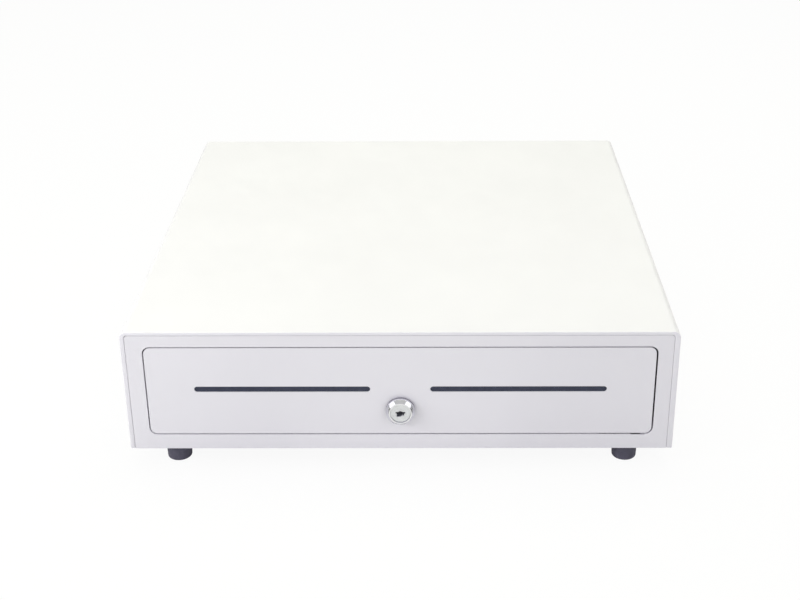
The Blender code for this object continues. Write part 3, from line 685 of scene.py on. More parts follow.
def cover():
    """Folded top and sides, with the hem along its front edge."""
    half, top, back = COVER.x1, COVER.z1, COVER.y1
    flange = half - 55
    path = [(-flange, 0), (-half, 0), (-half, top), (half, top), (half, 0), (flange, 0)]
    sheet = thickened(fillet(path, [0, 2, BEND_R, BEND_R, 2, 0], 10, closed=False), -SHEET)
    notch = block(FRAME.x0 - 0.3, FRAME.x1 + 0.3, -1, 1.7, -1, 1.6)
    holes = [rod("Z", (foot.x, foot.y), 2.5, -1, 2) for foot in FEET]
    piece("outer_cover_shell", "case", "white_paint",
          [prism("Y", sheet, 1.4, back), hem()], [notch, *holes], ["outer_cover"], edge=0.28)


def opening(grow, y0, y1):
    half, low, top = OPENING
    outline = rounded_box(-half - grow, half + grow, low - grow, top + grow, OPEN_R + grow)
    return prism("Y", outline, y0, y1)


def front_frame():
    """The fixed plate round the drawer. Its opening turns back in a flange, with reliefs on the right."""
    y0, left, right, top = FRAME.y0, FRAME.x0, FRAME.x1, FRAME.z1
    bend, rear, behind, lap = y0 + SHEET / 2, FRAME.y1, 12, 2.4
    face = fillet([(left, 0), (right, 0), (right, top), (left, top)], [0.3, 0.3, 2.4, 2.4])
    half, low, high = OPENING
    flanges = [block(left + 3.6, right - 3.6, bend, rear, top - 1.6, top - 0.4),
               block(left + 0.4, left + 1.6, bend, rear, 4, 90),
               block(right - 1.6, right - 0.4, bend, rear, 4, 90),
               block(-RETURN_X, RETURN_X, bend, 10.5, 3.0, 4.2)]
    reliefs = [block(half - 1, half + lap, y0 + SHEET, behind, low + 10, high - OPEN_R),
               block(half - OPEN_R - 1, half + lap, y0 + SHEET, behind, high - OPEN_R - 1, high + lap),
               block(half - 40, half - 9, y0 + SHEET, behind, low - lap, low + 1),
               block(half - 16.5, half - 6, -1, behind, low - 0.45, low + 1)]
    piece("front_frame_plate", "case", "white_paint",
          [prism("Y", face, y0, y0 + SHEET), opening(SHEET, bend, 10.2), *flanges],
          [opening(0, -1, behind), *reliefs], ["front_frame"], edge=0.55, segments=4,
          paint=PAINTS["drawer_paint"])


def chassis():
    refined("chassis_base", "zinc_steel", 0.25)


def back_panel():
    panel, socket = Box("back_panel"), Box("cable_socket")
    low, high, rear = panel.z0, panel.z1, panel.y1
    front, flange_y, lap = rear - 1.1, 408.5, rear - 0.6
    plate = fillet([(panel.x0, low), (panel.x1, low), (panel.x1, high), (panel.x0, high)], [1, 1, 4, 4])
    shapes = [
        prism("Y", plate, front, rear),
        block(-RETURN_X, RETURN_X, flange_y, lap, high - 1.4, high - 0.2),
        block(panel.x0 + 0.2, panel.x0 + 1.4, flange_y, lap, 6, 74),
        block(panel.x1 - 1.4, panel.x1 - 0.2, flange_y, lap, 6, 74),
        block(-RETURN_X, RETURN_X, flange_y, lap, 3.0, 4.2),
        block(socket.x - 22, socket.x + 22, panel.y0, lap, 18.3, 19.5),
    ]
    window = rounded_box(socket.x - 8, socket.x + 8, 21, 35.4, 0.8, 4)
    cuts = [prism("Y", window, front - 2, rear + 2)]
    for name in BACK_SCREWS:
        cuts.append(rod("Y", (Box(name).x, Box(name).z), 2.1, front - 2, rear + 2))
    piece("back_panel_plate", "case", "white_paint", shapes, cuts, ["back_panel"])


def cross_recess(axis, centre, low, high, arm, half_width):
    """The two crossing slots of a Phillips head."""
    u, v = centre
    if axis == "Y":
        return [block(u - arm, u + arm, low, high, v - half_width, v + half_width),
                block(u - half_width, u + half_width, low, high, v - arm, v + arm)]
    return [block(u - arm, u + arm, v - half_width, v + half_width, low, high),
            block(u - half_width, u + half_width, v - arm, v + arm, low, high)]


def thread(start, stop, radius, pitch):
    """Turned profile points of a threaded shank, as rings."""
    points = []
    steps = max(1, int(round(abs(stop - start) / (pitch / 2))))
    for i in range(steps + 1):
        points.append((start + (stop - start) * i / steps, radius - (0.0 if i % 2 else 0.22)))
    return points


def screws():
    for name in BACK_SCREWS:
        box = Box(name)
        centre, head = (box.x, box.z), box.y1 - 1.4
        profile = [(box.y0, 0), *thread(box.y0, head, 1.75, 0.7), (head, 3.3), (head + 0.2, 3.5),
                   (head + 0.8, 3.35), (head + 1.2, 2.7), (box.y1, 1.6), (box.y1, 0)]
        turned(name + "_finished", "case", "bright_steel", "Y", centre, profile, 32, [name],
               cross_recess("Y", centre, box.y1 - 0.9, box.y1 + 1, 1.7, 0.32))
    for name in FOOT_SCREWS:
        box = Box(name)
        centre, top = (box.x, box.y), box.z0 + 2.6
        profile = [(box.z0, 0), (box.z0, 2.4), (box.z0 + 0.5, 3.5), (box.z0 + 1.3, 4.0), (top, 4.0),
                   *thread(top, box.z1, 2.0, 0.7), (box.z1, 0)]
        turned(name + "_finished", "case", "bright_steel", "Z", centre, profile, 32, [name],
               cross_recess("Z", centre, box.z0 - 1, box.z0 + 1.3, 2.0, 0.38))


def feet():
    """Moulded rubber feet: a slight taper, a rolled lower edge and a recess for the screw."""
    roll_r, taper, bore, recess = 1.3, 0.45, 2.4, 5.0
    for where, box in zip(CORNERS, FEET):
        low, top, wide = box.z0, box.z1, box.x1 - box.x
        roll = [(low + roll_r * (1 - math.sin(a)), wide - taper - roll_r * (1 - math.cos(a)))
                for a in quarter_turn(8)[::-1]]
        profile = [(low, 5.6), *roll, (top - 0.4, wide), (top, wide - 0.3), (top, bore),
                   (top - 7.8, bore), (top - 7.8, recess), (low + 0.6, recess)]
        turned(f"foot_{where}_moulding", "case", "foot_rubber", "Z", (box.x, box.y), profile, 64,
               [f"foot_{where}"])


# ---- drawer

SLOT_W, SLOT_H = 131.0, 4.6
SLOT_X, SLOT_Z = 87.8, 51.4
LOCK_HOLE_R = 9.8


def slot_hole(side, grow, y0, y1):
    x0 = side * SLOT_X - SLOT_W / 2
    z0 = SLOT_Z - SLOT_H / 2
    radius = SLOT_H / 2 + grow - 0.01
    outline = rounded_box(x0 - grow, x0 + SLOT_W + grow, z0 - grow, z0 + SLOT_H + grow, radius)
    return prism("Y", outline, y0, y1)


def drawer_front():
    """Folded front panel, its edges rolled a little. The gap is widest on the right."""
    left, right, low, top, y0 = FRONT.x0, FRONT.x1 - 0.3, FRONT.z0 + 0.1, FRONT.z1, FRONT.y0
    shell = rounded_box(left, right, low, top, FRONT_R)
    hollow = rounded_box(left + SHEET, right - SHEET, low + SHEET, top - SHEET, FRONT_R - SHEET)
    piece("drawer_front_panel", "drawer", "drawer_paint", [prism("Y", shell, y0, FRONT.y1)],
          [prism("Y", hollow, y0 + SHEET, FRONT.y1 + 2), slot_hole(-1, 0, -1, 3), slot_hole(1, 0, -1, 3),
           rod("Y", LOCK_AXIS, LOCK_HOLE_R, -1, 3, 64)], ["drawer_front"], edge=0.3, segments=3)
    for side, where in ((-1, "left"), (1, "right")):
        slot_lips(side * SLOT_X, where)


def slot_lips(middle, where):
    """Two rubber lips behind a slot, which meet along a slit at its middle height."""
    slit, reach, edge = 0.12, SLOT_H / 2 + 0.4, SLOT_W / 2 + 2
    for sign, upper in ((-1, "lower"), (1, "upper")):
        z0, z1 = sorted((SLOT_Z + sign * reach, SLOT_Z + sign * slit / 2))
        lip = block(middle - edge, middle + edge, 0.95, 1.35, z0, z1)
        piece(f"media_slot_{where}_{upper}_lip", "drawer", "till_plastic", [lip], edge=0.08,
              paint=SLOT_RUBBER)


def drawer_pan():
    pan = Box("drawer_pan")
    half, low, top, rear = pan.x1, pan.z0, 80.0, pan.y1
    path = [(-half, top), (-half, low), (half, low), (half, top)]
    sheet = thickened(fillet(path, 1.8, closed=False), 1.0)
    edge = half - 0.5
    shapes = [
        prism("Y", sheet, pan.y0 + 0.2, rear - 0.2),
        block(-edge, edge, pan.y0, pan.y0 + 1, low + 0.5, pan.z1),
        block(-edge, edge, rear - 1, rear, low + 0.5, top - 1),
        block(-edge, 9 - half, 36, rear - 0.5, 42.4, 43.4),
        block(half - 9, edge, 36, rear - 0.5, 42.4, 43.4),
    ]
    cuts = [slot_hole(-1, 0.2, 0, 3), slot_hole(1, 0.2, 0, 3), rod("Y", LOCK_AXIS, LOCK_HOLE_R, 0, 3, 64),
            rod("Y", LOCK_AXIS, 3.2, rear - 2, rear + 1), block(-8, 25, 26.5, 33, low - 1, low + 2)]
    piece("drawer_pan_tray", "drawer", "drawer_paint", shapes, cuts, ["drawer_pan"])


def lock():
    """Chrome collar with a lip round the plug, its seat and threaded barrel, and the keyed plug. The seat is
    painted darker, as painted shade round the collar's base.
    """
    front, rim, lip, seat = LOCK.y0, LOCK.x1, 7.6, -1.9
    thread_rings = thread(0.6, LOCK.y1 - 0.5, 9.5, 1.0)
    profile = [(front + 0.5, 8.3), (front + 0.5, lip + 0.1), (front + 0.3, lip), (front + 0.08, lip + 0.05),
               (front, lip + 0.2), (front, 8.5), (front + 0.05, 8.66), (front + 0.25, 8.8),
               (front + 2.1, 10.72), (front + 2.5, 10.92), (front + 3.1, rim - 0.03), (seat, rim - 0.02),
               (seat, 9.4), *thread_rings, (LOCK.y1, 9.2), (LOCK.y1, 8.3)]
    turned("lock_collar", "drawer", "chrome", "Y", LOCK_AXIS, profile, 96, ["lock_barrel"])
    ring = [(seat + 0.02, 9.6), (seat + 0.02, rim - 0.05), (seat + 0.1, rim),
            (-0.3, rim), (-0.1, rim - 0.2), (-0.1, 9.6)]
    # The seat ring is painted darker: painted shade for the shadowed panel that its base reflects.
    turned("lock_collar_seat", "drawer", "chrome", "Y", LOCK_AXIS, ring, 96, paint=SEAT_SHADE_STEEL)
    plug_and_keyway(Box("lock_plug").y0)
    for node, edge in (("lock_nut", 0.4), ("lock_cam", 0.2), ("release_rod", 0.2), ("lock_keeper", 0.2)):
        refined(node, "zinc_steel", edge)


def plug_and_keyway(y0):
    u, v = LOCK_AXIS
    deep = 14
    profile = [(y0 + 0.25, 0), (y0 + 0.25, 3.4), (y0, 4.6), (y0, 7.45), (y0 + 0.35, 7.95),
               (24.5, 8.0), (24.5, 0)]
    shapes = [lathe("Y", LOCK_AXIS, profile, 96),
              block(u - 3.5, u + 3.5, 24, 31, v - 3.5, v + 3.5),
              rod("Y", LOCK_AXIS, 2.0, 30.5, 38.5)]
    keyway = [block(u - 3.6, u + 3.7, y0 - 1, deep, v - 0.3, v + 1.0),
              rod("Y", (u - 0.1, v - 0.3), 2.1, y0 - 1, deep, 32),
              block(u - 2.8, u + 0.2, y0 - 1, deep, v - 2.9, v),
              block(u + 1.9, u + 2.8, y0 - 1, deep, v - 2.1, v)]
    piece("lock_plug_core", "lock", "bright_steel", shapes, keyway, ["lock_plug"], edge=0.12, paint=PLUG_FACE)


def chutes():
    for side in ("left", "right"):
        refined(f"media_chute_{side}", "zinc_steel", 0.15)


# ---- till

TILL = Box("cash_tray")
TILL_WALL = 2.0
BAYS = 5
BAY_FRONT = 150.5
SPRING_WIRE_R = 0.48


def bay_spans():
    inner = TILL.x1 - TILL_WALL
    width = (2 * inner - (BAYS - 1) * TILL_WALL) / BAYS
    starts = [-inner + i * (width + TILL_WALL) for i in range(BAYS)]
    return [(start, start + width) for start in starts]


def cash_tray():
    """Moulded till: five note bays with ribbed floors, and a well for the coin tray."""
    inner, floor, rim = TILL.x1 - TILL_WALL, TILL.z0 + TILL_WALL, TILL.z1
    front, rear = TILL.y0 + TILL_WALL, TILL.y1 - TILL_WALL
    rod_box = Box("clip_rod")
    cuts = [prism("Z", rounded_box(-inner, inner, front, BAY_FRONT - 2.5, 2.5, 5), floor, rim + 1),
            prism("Z", rounded_box(-inner, inner, BAY_FRONT, rear, 2.5, 5), rim - 4, rim + 1)]
    cuts += [scoop(x0, x1, BAY_FRONT, rear, floor, rim - 3, 3.0, 3.5, 5) for x0, x1 in bay_spans()]
    cuts.append(rod("X", (rod_box.y, rod_box.z), 2.3, TILL.x0 - 1, TILL.x1 + 1))
    outline = rounded_box(TILL.x0, TILL.x1, TILL.y0, TILL.y1, 4)
    shapes = [prism("Z", outline, TILL.z0, rim)]
    piece("till_tray", "drawer", "till_plastic", shapes, cuts, ["cash_tray"], edge=0.5, segments=3)
    places = [x0 + (x1 - x0) * (i + 1) / 6 for x0, x1 in bay_spans() for i in range(5)]
    for i, x in enumerate(places, 1):
        rib = block(x - 0.5, x + 0.5, BAY_FRONT + 8, rear - 8, floor - 0.6, floor + 0.3)
        piece(f"till_rib_{i}", "drawer", "till_plastic", [rib], edge=0.15)


def coin_tray():
    """Lift-out tray of eight scooped cups, four across and two deep."""
    tray = Box("coin_tray")
    web, columns = 2.4, 4
    width = (tray.x1 - tray.x0 - (columns + 1) * web) / columns
    depth = (tray.y1 - tray.y0 - 3 * web) / 2
    cuts = []
    for column in range(columns):
        x0 = tray.x0 + web + column * (width + web)
        for row in range(2):
            y0 = tray.y0 + web + row * (depth + web)
            cuts.append(scoop(x0, x0 + width, y0, y0 + depth, 50.2, tray.z1 + 1, 19, 9))
    outline = rounded_box(tray.x0, tray.x1, tray.y0, tray.y1, 3)
    piece("coin_cups", "drawer", "coin_plastic", [prism("Z", outline, tray.z0, tray.z1)], cuts,
          ["coin_tray"], edge=0.7, segments=3)


def note_clips():
    """Sprung arms: a hub on the cross rod, a ribbed arm and an upturned finger tab."""
    rod_box = Box("clip_rod")
    axle = (rod_box.y, rod_box.z)
    piece("clip_rod_finished", "drawer", "bright_steel",
          [rod("X", axle, 2.0, rod_box.x0, rod_box.x1, 32, 0.4)], stands_for=["clip_rod"], edge=0)
    path = fillet([(280, 67.2), (200, 51.8), (190, 51.8), (182, 56.5)], [0, 12, 3, 0], closed=False)
    arm, rib = thickened(path, -2.0), [(276, 66.0), (204, 52.2), (204, 53.6), (276, 69.5)]
    leg = Vector((0, 0, -9))
    for i in range(1, BAYS + 1):
        clip, spring = Box(f"note_clip_{i}"), Box(f"clip_spring_{i}")
        hub = rod("X", axle, 4.6, clip.x0, clip.x1, 40, 0.4)
        flat = prism("X", arm, clip.x0 + 0.6, clip.x1 - 0.6)
        ribs = [prism("X", rib, x - 0.7, x + 0.7) for x in (clip.x0 + 2.2, clip.x1 - 2.2)]
        piece(f"note_clip_{i}_arm", f"note_clip_{i}", "till_plastic", [hub, flat, *ribs],
              [rod("X", axle, 2.4, clip.x0 - 1, clip.x1 + 1, 32)], [f"note_clip_{i}"], edge=0.35)
        turns = coil("X", axle, 3.3, spring.x0 + 0.5, spring.x1 - 0.5, 3)
        wire(f"clip_spring_{i}_wire", "drawer", "bright_steel", [turns[0] + leg, *turns, turns[-1] + leg],
             SPRING_WIRE_R, [f"clip_spring_{i}"])


# ---- slides


def slides():
    for side in ("left", "right"):
        refined(f"slide_outer_{side}", "bright_steel", 0.25)
        refined(f"slide_inner_{side}", "bright_steel", 0.25)
        ball_cage(side)


def ball_cage(side):
    """The retainer strip with its bearing balls sitting in round pockets."""
    cage = Box(f"ball_cage_{side}")
    sign = -1 if side == "left" else 1
    middle = Box(f"slide_outer_{side}").z
    inner_x, outer_x, ball_x, track_z, ball_r = 184.8, 190.6, 187.0, 13.7, 2.3
    corners = [(inner_x, -14.1), (outer_x, -14.1), (outer_x, 14.1), (inner_x, 14.1)]
    path = fillet(corners, [0, 1.4, 1.4, 0], 5, closed=False)
    strip = [(sign * p.x, p.y + middle) for p in thickened(path, 0.8)]
    web_x = sorted((sign * 189, sign * 192))

    def places(count):
        return [cage.y0 + (cage.y1 - cage.y0) * (i + 0.5) / count for i in range(count)]

    seats = [(y, middle + z) for y in places(8) for z in (-track_z, track_z)]
    pockets = [rod("Z", (sign * ball_x, y), ball_r + 0.12, z - 2, z + 2, 24) for y, z in seats]
    windows = [rounded_box(y - 8, y + 8, middle - 7, middle + 7, 3, 5) for y in places(4)]
    pockets += [prism("X", window, *web_x) for window in windows]
    piece(f"ball_cage_{side}_strip", f"ball_cage_{side}", "bright_steel",
          [prism("Y", strip, cage.y0, cage.y1)], pockets, [f"ball_cage_{side}"], edge=0.12)
    for i, (y, z) in enumerate(seats, 1):
        piece(f"bearing_ball_{side}_{i}", f"ball_cage_{side}", "chrome",
              [ball((sign * ball_x, y, z), ball_r)], edge=0)


# ---- rear mechanism


def springs():
    """The latch's torsion spring, and the kicker's spring."""
    pin = Box("latch_pivot_pin")
    turns = coil("Z", (pin.x, pin.y), 6.0, 30.4, 36.4, 4)
    ends = [turns[0] + Vector((0, -14, 0)), *turns, turns[-1] + Vector((0, -20, 0))]
    wire("latch_spring_wire", "case", "bright_steel", ends, SPRING_WIRE_R, ["latch_spring"])
    box = Box("kicker_spring")
    turns = coil("Y", (box.x, box.z), 3.6, box.y0 + 0.5, box.y1 - 0.5, 11)
    spring = wire("kicker_spring_wire", None, "bright_steel", turns, SPRING_WIRE_R, ["kicker_spring"])
    ends = [DATUM + Vector((box.x, y, box.z)) * MM for y in (box.y1, box.y0)]
    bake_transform(spring)


def solenoid():
    box = Box("solenoid_coil")
    centre = (box.y, box.z)
    refined("solenoid_frame", "zinc_steel", 0.25)
    refined("solenoid_plunger", "bright_steel", 0.25)
    wire_d, core, layer, low, high = 0.62, 4.9, 9.6, box.x0 + 2.2, box.x1 - 2.2
    count = int((high - low) / wire_d)
    profile = [(low, core)]
    for i in range(count):
        x = low + wire_d * i
        profile += [(x, layer), (x + wire_d * 0.25, 9.82), (x + wire_d * 0.5, 9.9), (x + wire_d * 0.75, 9.82)]
    profile += [(low + wire_d * count, layer), (low + wire_d * count, core)]
    turned("solenoid_winding", "case", "coil_winding", "X", centre, profile, 48, ["solenoid_coil"])

    def ring(x0, x1, inner, outer):
        return lathe("X", centre, [(x0, inner), (x0, outer), (x1, outer), (x1, inner)], 48)

    flanges = [ring(box.x0, box.x0 + 1.6, 4.4, 10.5), ring(box.x1 - 1.6, box.x1, 4.4, 10.5)]
    bobbin = ring(box.x0 + 0.4, box.x1 - 0.4, 4.4, 4.8)
    piece("solenoid_bobbin", "case", "nylon", [bobbin, *flanges], edge=0.15)
    tape = ring(box.x - 4, box.x + 4, 9.95, 10.2)
    piece("solenoid_tape", "case", "coil_winding", [tape], edge=0, paint=TAPE)


def switch():
    box = Box("switch_body")
    low, high, top, rear, hole_y = box.x0, box.x1, box.y0 + 1.5, box.y1, box.y1 - 3
    outline = fillet([(low, top), (high, top), (high, rear), (low, rear)], 0.6, 4)
    case = prism("Z", outline, box.z0, box.z1)
    button = prism("X", rounded_box(box.y0, top + 1, 31.2, 34.0, 0.7, 4), 46, 48.4)
    holes = [rod("Z", (x, hole_y), 1.2, box.z0 - 1, box.z1 + 1) for x in (low + 4.5, high - 4.5)]
    piece("switch_case", "case", "till_plastic", [case, button], holes, ["switch_body"], edge=0.2)
    for i, x in enumerate((low + 3, box.x, high - 3), 1):
        blade = block(x - 0.25, x + 0.25, rear - 0.5, rear + 4.5, box.z - 1.6, box.z + 1.6)
        piece(f"switch_terminal_{i}", "case", "bright_steel", [blade], edge=0.1, paint=GOLD)
    refined("switch_lever", "bright_steel", 0.12)


def latch():
    refined("latch_bracket", "zinc_steel", 0.25)
    refined("latch_lever", "bright_steel", 0.25)
    refined("latch_pivot_pin", "bright_steel", 0.25)
    refined("striker", "zinc_steel", 0.2)


def kicker():
    guide, plunger = Box("kicker_guide"), Box("kicker_plunger")
    centre, pin_r, y0, y1 = (plunger.x, plunger.z), 6.0, plunger.y0, plunger.y1
    outline = rounded_box(guide.x0, guide.x1, guide.z0, guide.z1, 2.5)
    waist = [block(guide.x0 - 1, guide.x0 + 3, guide.y0 + 4, guide.y1 - 4, 8, 22),
             block(guide.x1 - 3, guide.x1 + 1, guide.y0 + 4, guide.y1 - 4, 8, 22)]
    piece("kicker_housing", "case", "nylon", [prism("Y", outline, guide.y0, guide.y1)],
          [rod("Y", centre, 6.4, guide.y0 - 1, guide.y1 - 3, 48), *waist], ["kicker_guide"],
          edge=0.5, segments=3)
    nose = [(y0 + pin_r * (1 - math.cos(a)) * 0.35, pin_r * math.sin(a)) for a in quarter_turn(8)]
    nose[0] = (y0, 0)
    bore_end, bore_r = 358, 4.6
    profile = [*nose, (y1 - 0.4, pin_r), (y1, 5.6), (y1, bore_r), (bore_end, bore_r), (bore_end, 0)]
    turned("kicker_pin", "kicker_plunger", "nylon", "Y", centre, profile, 48, ["kicker_plunger"])


def electronics():
    """Driver board with its parts, the modular socket and the leads to coil and switch."""
    board, socket = Box("circuit_board"), Box("cable_socket")
    x, top = socket.x, board.z0 + 1.6
    outline = rounded_box(board.x0, board.x1, board.y0, board.y1, 1.5, 5)
    holes = [rod("Z", (at, board.y1 - 3), 1.6, 18, 23) for at in (board.x0 + 3, board.x1 - 3)]
    piece("driver_board", "case", "board", [prism("Z", outline, board.z0, top)], holes,
          ["circuit_board"], edge=0.12)
    header("coil_header", x - 23, x - 15, 387, 393, top - 0.05, top + 6.6)
    header("switch_header", x - 8, x + 4, 386, 391.5, top - 0.05, top + 5.6)
    can = [(top - 0.05, 0), (top - 0.05, 3.9), (top + 0.8, 4.0), (top + 1.2, 3.7), (top + 1.6, 4.0),
           (top + 10.1, 4.0), (top + 10.5, 3.6), (top + 10.4, 0)]
    turned("capacitor", "case", "bright_steel", "Z", (x + 14, 391), can, 40, paint=CHIP)
    for i, (cx, cy) in enumerate(((x - 18, 399), (x + 14, 401)), 1):
        chip = block(cx - 2.5, cx + 2.5, cy - 2, cy + 2, top - 0.05, top + 1.5)
        piece(f"chip_{i}", "case", "board", [chip], edge=0.15, paint=CHIP)
    shell = [block(socket.x0, socket.x1, socket.y0, socket.y1, socket.z0, socket.z1)]
    jack = [block(x - 5.2, x + 5.2, 403, 416, 24, 32.4), block(x - 2.6, x + 2.6, 403, 416, 31, 33.6)]
    piece("modular_socket", "case", "till_plastic", shell, jack, ["cable_socket"], edge=0.2)
    pitch = 1.02
    for i in range(6):
        px = x - 2.5 * pitch + pitch * i
        route = [(px, 413.2, 24.5), (px, 412.6, 24.4), (px, 405.5, 29.2), (px, 403.2, 29.2)]
        wire(f"socket_contact_{i + 1}", "case", "bright_steel", bent(route, 1.0, 4), 0.22,
             paint=GOLD, segments=8)
    leads()


def header(name, x0, x1, y0, y1, low, high):
    """A connector housing, open at the top, with walls 1 mm thick."""
    well = block(x0 + 1, x1 - 1, y0 + 1, y1 - 1, low + 1.05, high + 1.4)
    piece(name, "case", "nylon", [block(x0, x1, y0, y1, low, high)], [well], edge=0.2, paint=WHITE_HOUSING)


def leads():
    """A red and a black lead to the coil, and two more to the switch."""
    coil_box, switch_box, socket = Box("solenoid_coil"), Box("switch_body"), Box("cable_socket")
    x, start, coil_z, switch_z = socket.x, coil_box.x0, 33, 60
    lead_r, bend = 0.75, 6
    for i, colour in enumerate((RED_WIRE, BLACK_WIRE)):
        d = i * 2.2
        route = [(x - 20 + d, 390, 24), (x - 20 + d, 390, coil_z + d), (x - 20 + d, 381 - d, coil_z + d),
                 (start - 14, 381 - d, coil_z + d), (start - 7, 384 + d, 45), (start - 3.2, 384 + d, 47),
                 (start + 0.8, 384 + d, 49.2)]
        wire(f"coil_lead_{i + 1}", "case", "coil_winding", bent(route, bend), lead_r, paint=colour)
    for i, (colour, end) in enumerate(((RED_WIRE, switch_box.x0 + 3), (BLACK_WIRE, switch_box.x))):
        d = i * 2.4
        route = [(x - 4 + d, 389, 23), (x - 4 + d, 389, switch_z + d), (x - 4 + d, 396 + d, switch_z + d),
                 (20 + d, 396 + d, switch_z + d), (end, 386 + d, 48), (end, 383 + d, 33), (end, 378.6, 32.6)]
        wire(f"switch_lead_{i + 1}", "case", "coil_winding", bent(route, bend), lead_r, paint=colour)


# ---- stage

CAMERA_AT = (0.02403, -0.86435, 0.55240)
CAMERA_PITCH = 24.536
CAMERA_YAW = 0.589
CAMERA_ROLL = 0.373
LENS_MM = 60.29
SHIFT = (-0.0247, -0.0514)
OVERHEAD = 2.15  # radiance, as for the windows and the fill
LEFT_WINDOW = 1.02
RIGHT_WINDOW = 0.97
LEFT_FILL = 3.6
WINDOW_SIZE = (1.15, 1.15)
CARD_X = 785
FRONT_SKY = (0.58, 0.57, 0.665)
SIDE_SKY = (0.40, 0.40, 0.41)
HIGH_SKY = (0.62, 0.62, 0.60)


def camera():
    data = bpy.data.cameras.new("camera")
    data.sensor_width = 36.0
    data.lens = LENS_MM
    data.shift_x, data.shift_y = SHIFT
    obj = bpy.data.objects.new("camera", data)
    bpy.context.scene.collection.objects.link(obj)
    turn = Matrix.Rotation(math.radians(CAMERA_YAW), 4, "Z")
    tilt = Matrix.Rotation(math.radians(90 - CAMERA_PITCH), 4, "X")
    roll = Matrix.Rotation(math.radians(-CAMERA_ROLL), 4, "Z")
    obj.matrix_world = Matrix.Translation(DATUM + Vector(CAMERA_AT)) @ turn @ tilt @ roll
    bpy.context.scene.camera = obj


def floor():
    """A pale table. The camera sees it almost shadowless, as in a catalogue picture."""
    bm = bmesh.new()
    bmesh.ops.create_grid(bm, x_segments=2, y_segments=2, size=30)
    mesh = bpy.data.meshes.new("floor")
    bm.to_mesh(mesh)
    bm.free()
    paint = Paint("pale_floor", (0.80, 0.80, 0.79), 0.9)
    paint.link(paint.between(paint.noise(3, 2), (0.79, 0.79, 0.78), (0.81, 0.81, 0.80)), "Base Color")
    glow = paint.node("ShaderNodeEmission")
    share = paint.node("ShaderNodeMath", operation="MULTIPLY")
    share.inputs[1].default_value = 0.93
    mix = paint.node("ShaderNodeMixShader")
    path = paint.node("ShaderNodeLightPath")
    links = paint.tree.links
    links.new(path.outputs["Is Camera Ray"], share.inputs[0])
    links.new(share.outputs["Value"], mix.inputs["Fac"])
    links.new(paint.shader.outputs["BSDF"], mix.inputs[1])
    links.new(glow.outputs["Emission"], mix.inputs[2])
    links.new(mix.outputs["Shader"], paint.tree.nodes["Material Output"].inputs["Surface"])
    mesh.materials.append(paint.material)
    linked("floor", mesh)


def softbox(name, at, aim, size, radiance, colour=(1, 1, 1), mirrored=True):
    """A rectangular light of a given radiance, left out of the camera's direct view."""
    data = bpy.data.lights.new(name, "AREA")
    data.shape = "RECTANGLE"
    data.size, data.size_y = size
    data.energy = radiance * math.pi * size[0] * size[1]
    data.color = colour
    obj = bpy.data.objects.new(name, data)
    bpy.context.scene.collection.objects.link(obj)
    obj.location = at
    obj.rotation_euler = (Vector(aim) - Vector(at)).to_track_quat("-Z", "Y").to_euler()
    obj.visible_camera = False
    obj.visible_glossy = mirrored


def dark_card(name, x):
    """A black card lying beside the object, which gives polished metal its dark edge."""
    half = 700
    card = linked(name, mesh_from(name, block(x - half, x + half, -500, -1, -13.8, -13.4)))
    card.data.materials.append(PAINTS["till_plastic"])
    card.visible_camera = False
    card.visible_diffuse = False
    card.visible_shadow = False


def lights():
    lock = DATUM + Vector((0, 0, LOCK.z)) * MM
    softbox("overhead", (0.0, 0.40, 1.6), (0, 0.1, 0), (2.2, 1.3), OVERHEAD, (1.0, 1.035, 0.80))
    softbox("left_window", lock + Vector((-1.22, -0.54, 0.66)), lock, WINDOW_SIZE, LEFT_WINDOW)
    softbox("right_window", lock + Vector((1.18, -0.60, 0.76)), lock, WINDOW_SIZE, RIGHT_WINDOW)
    softbox("left_fill", lock + Vector((-1.0, -0.42, 0.40)), lock, (0.6, 0.6), LEFT_FILL, mirrored=False)
    dark_card("dark_card_left", -CARD_X)
    dark_card("dark_card_right", CARD_X)
    world()


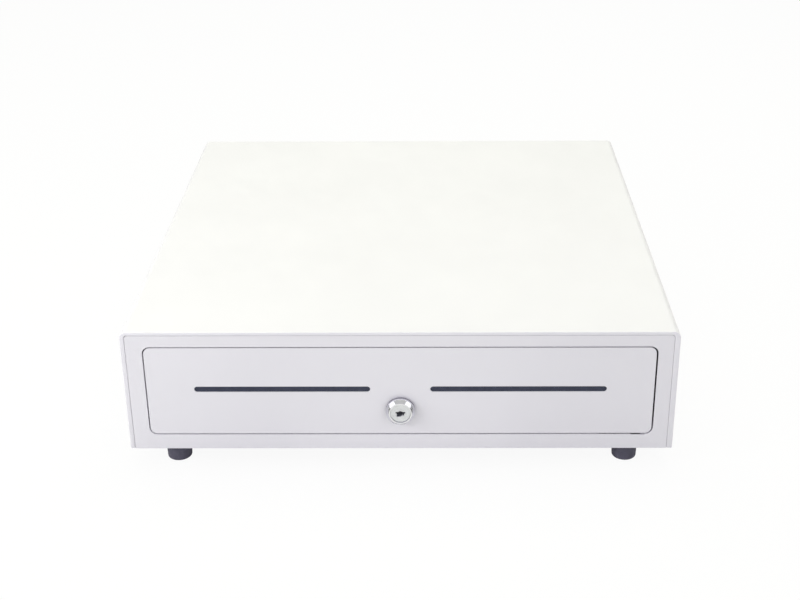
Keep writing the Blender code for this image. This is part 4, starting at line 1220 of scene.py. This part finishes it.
def world():
    """White to the camera; to everything else a room that is brightest in front and dark below."""
    studio = bpy.data.worlds.new("studio")
    bpy.context.scene.world = studio
    studio.use_nodes = True
    tree = studio.node_tree
    seen = tree.nodes["Background"]
    seen.inputs["Color"].default_value = (1, 1, 1, 1)
    seen.inputs["Strength"].default_value = 1.05
    parts = tree.nodes.new("ShaderNodeSeparateXYZ")
    place = tree.nodes.new("ShaderNodeTexCoord")
    tree.links.new(place.outputs["Generated"], parts.inputs["Vector"])

    def blend(source, start, stop, low, high):
        """A colour that turns from low to high as one part of the direction goes from start to stop."""
        ramp = tree.nodes.new("ShaderNodeMapRange")
        ramp.interpolation_type = "SMOOTHSTEP"
        ramp.inputs["From Min"].default_value = start
        ramp.inputs["From Max"].default_value = stop
        tree.links.new(source, ramp.inputs["Value"])
        mix = tree.nodes.new("ShaderNodeMix")
        mix.data_type = "RGBA"
        tree.links.new(ramp.outputs["Result"], mix.inputs["Factor"])
        for socket, value in (("A", low), ("B", high)):
            if isinstance(value, tuple):
                mix.inputs[socket].default_value = (*value, 1)
            else:
                tree.links.new(value, mix.inputs[socket])
        return mix.outputs["Result"]

    side = blend(parts.outputs["Y"], -0.75, -0.1, FRONT_SKY, SIDE_SKY)
    sky = blend(parts.outputs["Z"], 0.55, 0.9, side, HIGH_SKY)
    everything = blend(parts.outputs["Z"], -0.05, 0.05, (0.12, 0.12, 0.13), sky)
    fill = tree.nodes.new("ShaderNodeBackground")
    tree.links.new(everything, fill.inputs["Color"])
    path = tree.nodes.new("ShaderNodeLightPath")
    mix = tree.nodes.new("ShaderNodeMixShader")
    tree.links.new(path.outputs["Is Camera Ray"], mix.inputs["Fac"])
    tree.links.new(fill.outputs["Background"], mix.inputs[1])
    tree.links.new(seen.outputs["Background"], mix.inputs[2])
    tree.links.new(mix.outputs["Shader"], tree.nodes["World Output"].inputs["Surface"])
    bpy.context.scene.view_settings.view_transform = "Standard"


def build():
    cover()
    front_frame()
    chassis()
    back_panel()
    screws()
    feet()
    drawer_front()
    drawer_pan()
    lock()
    chutes()
    cash_tray()
    coin_tray()
    note_clips()
    slides()
    latch()
    springs()
    solenoid()
    switch()
    kicker()
    electronics()


build()
camera()
floor()
lights()
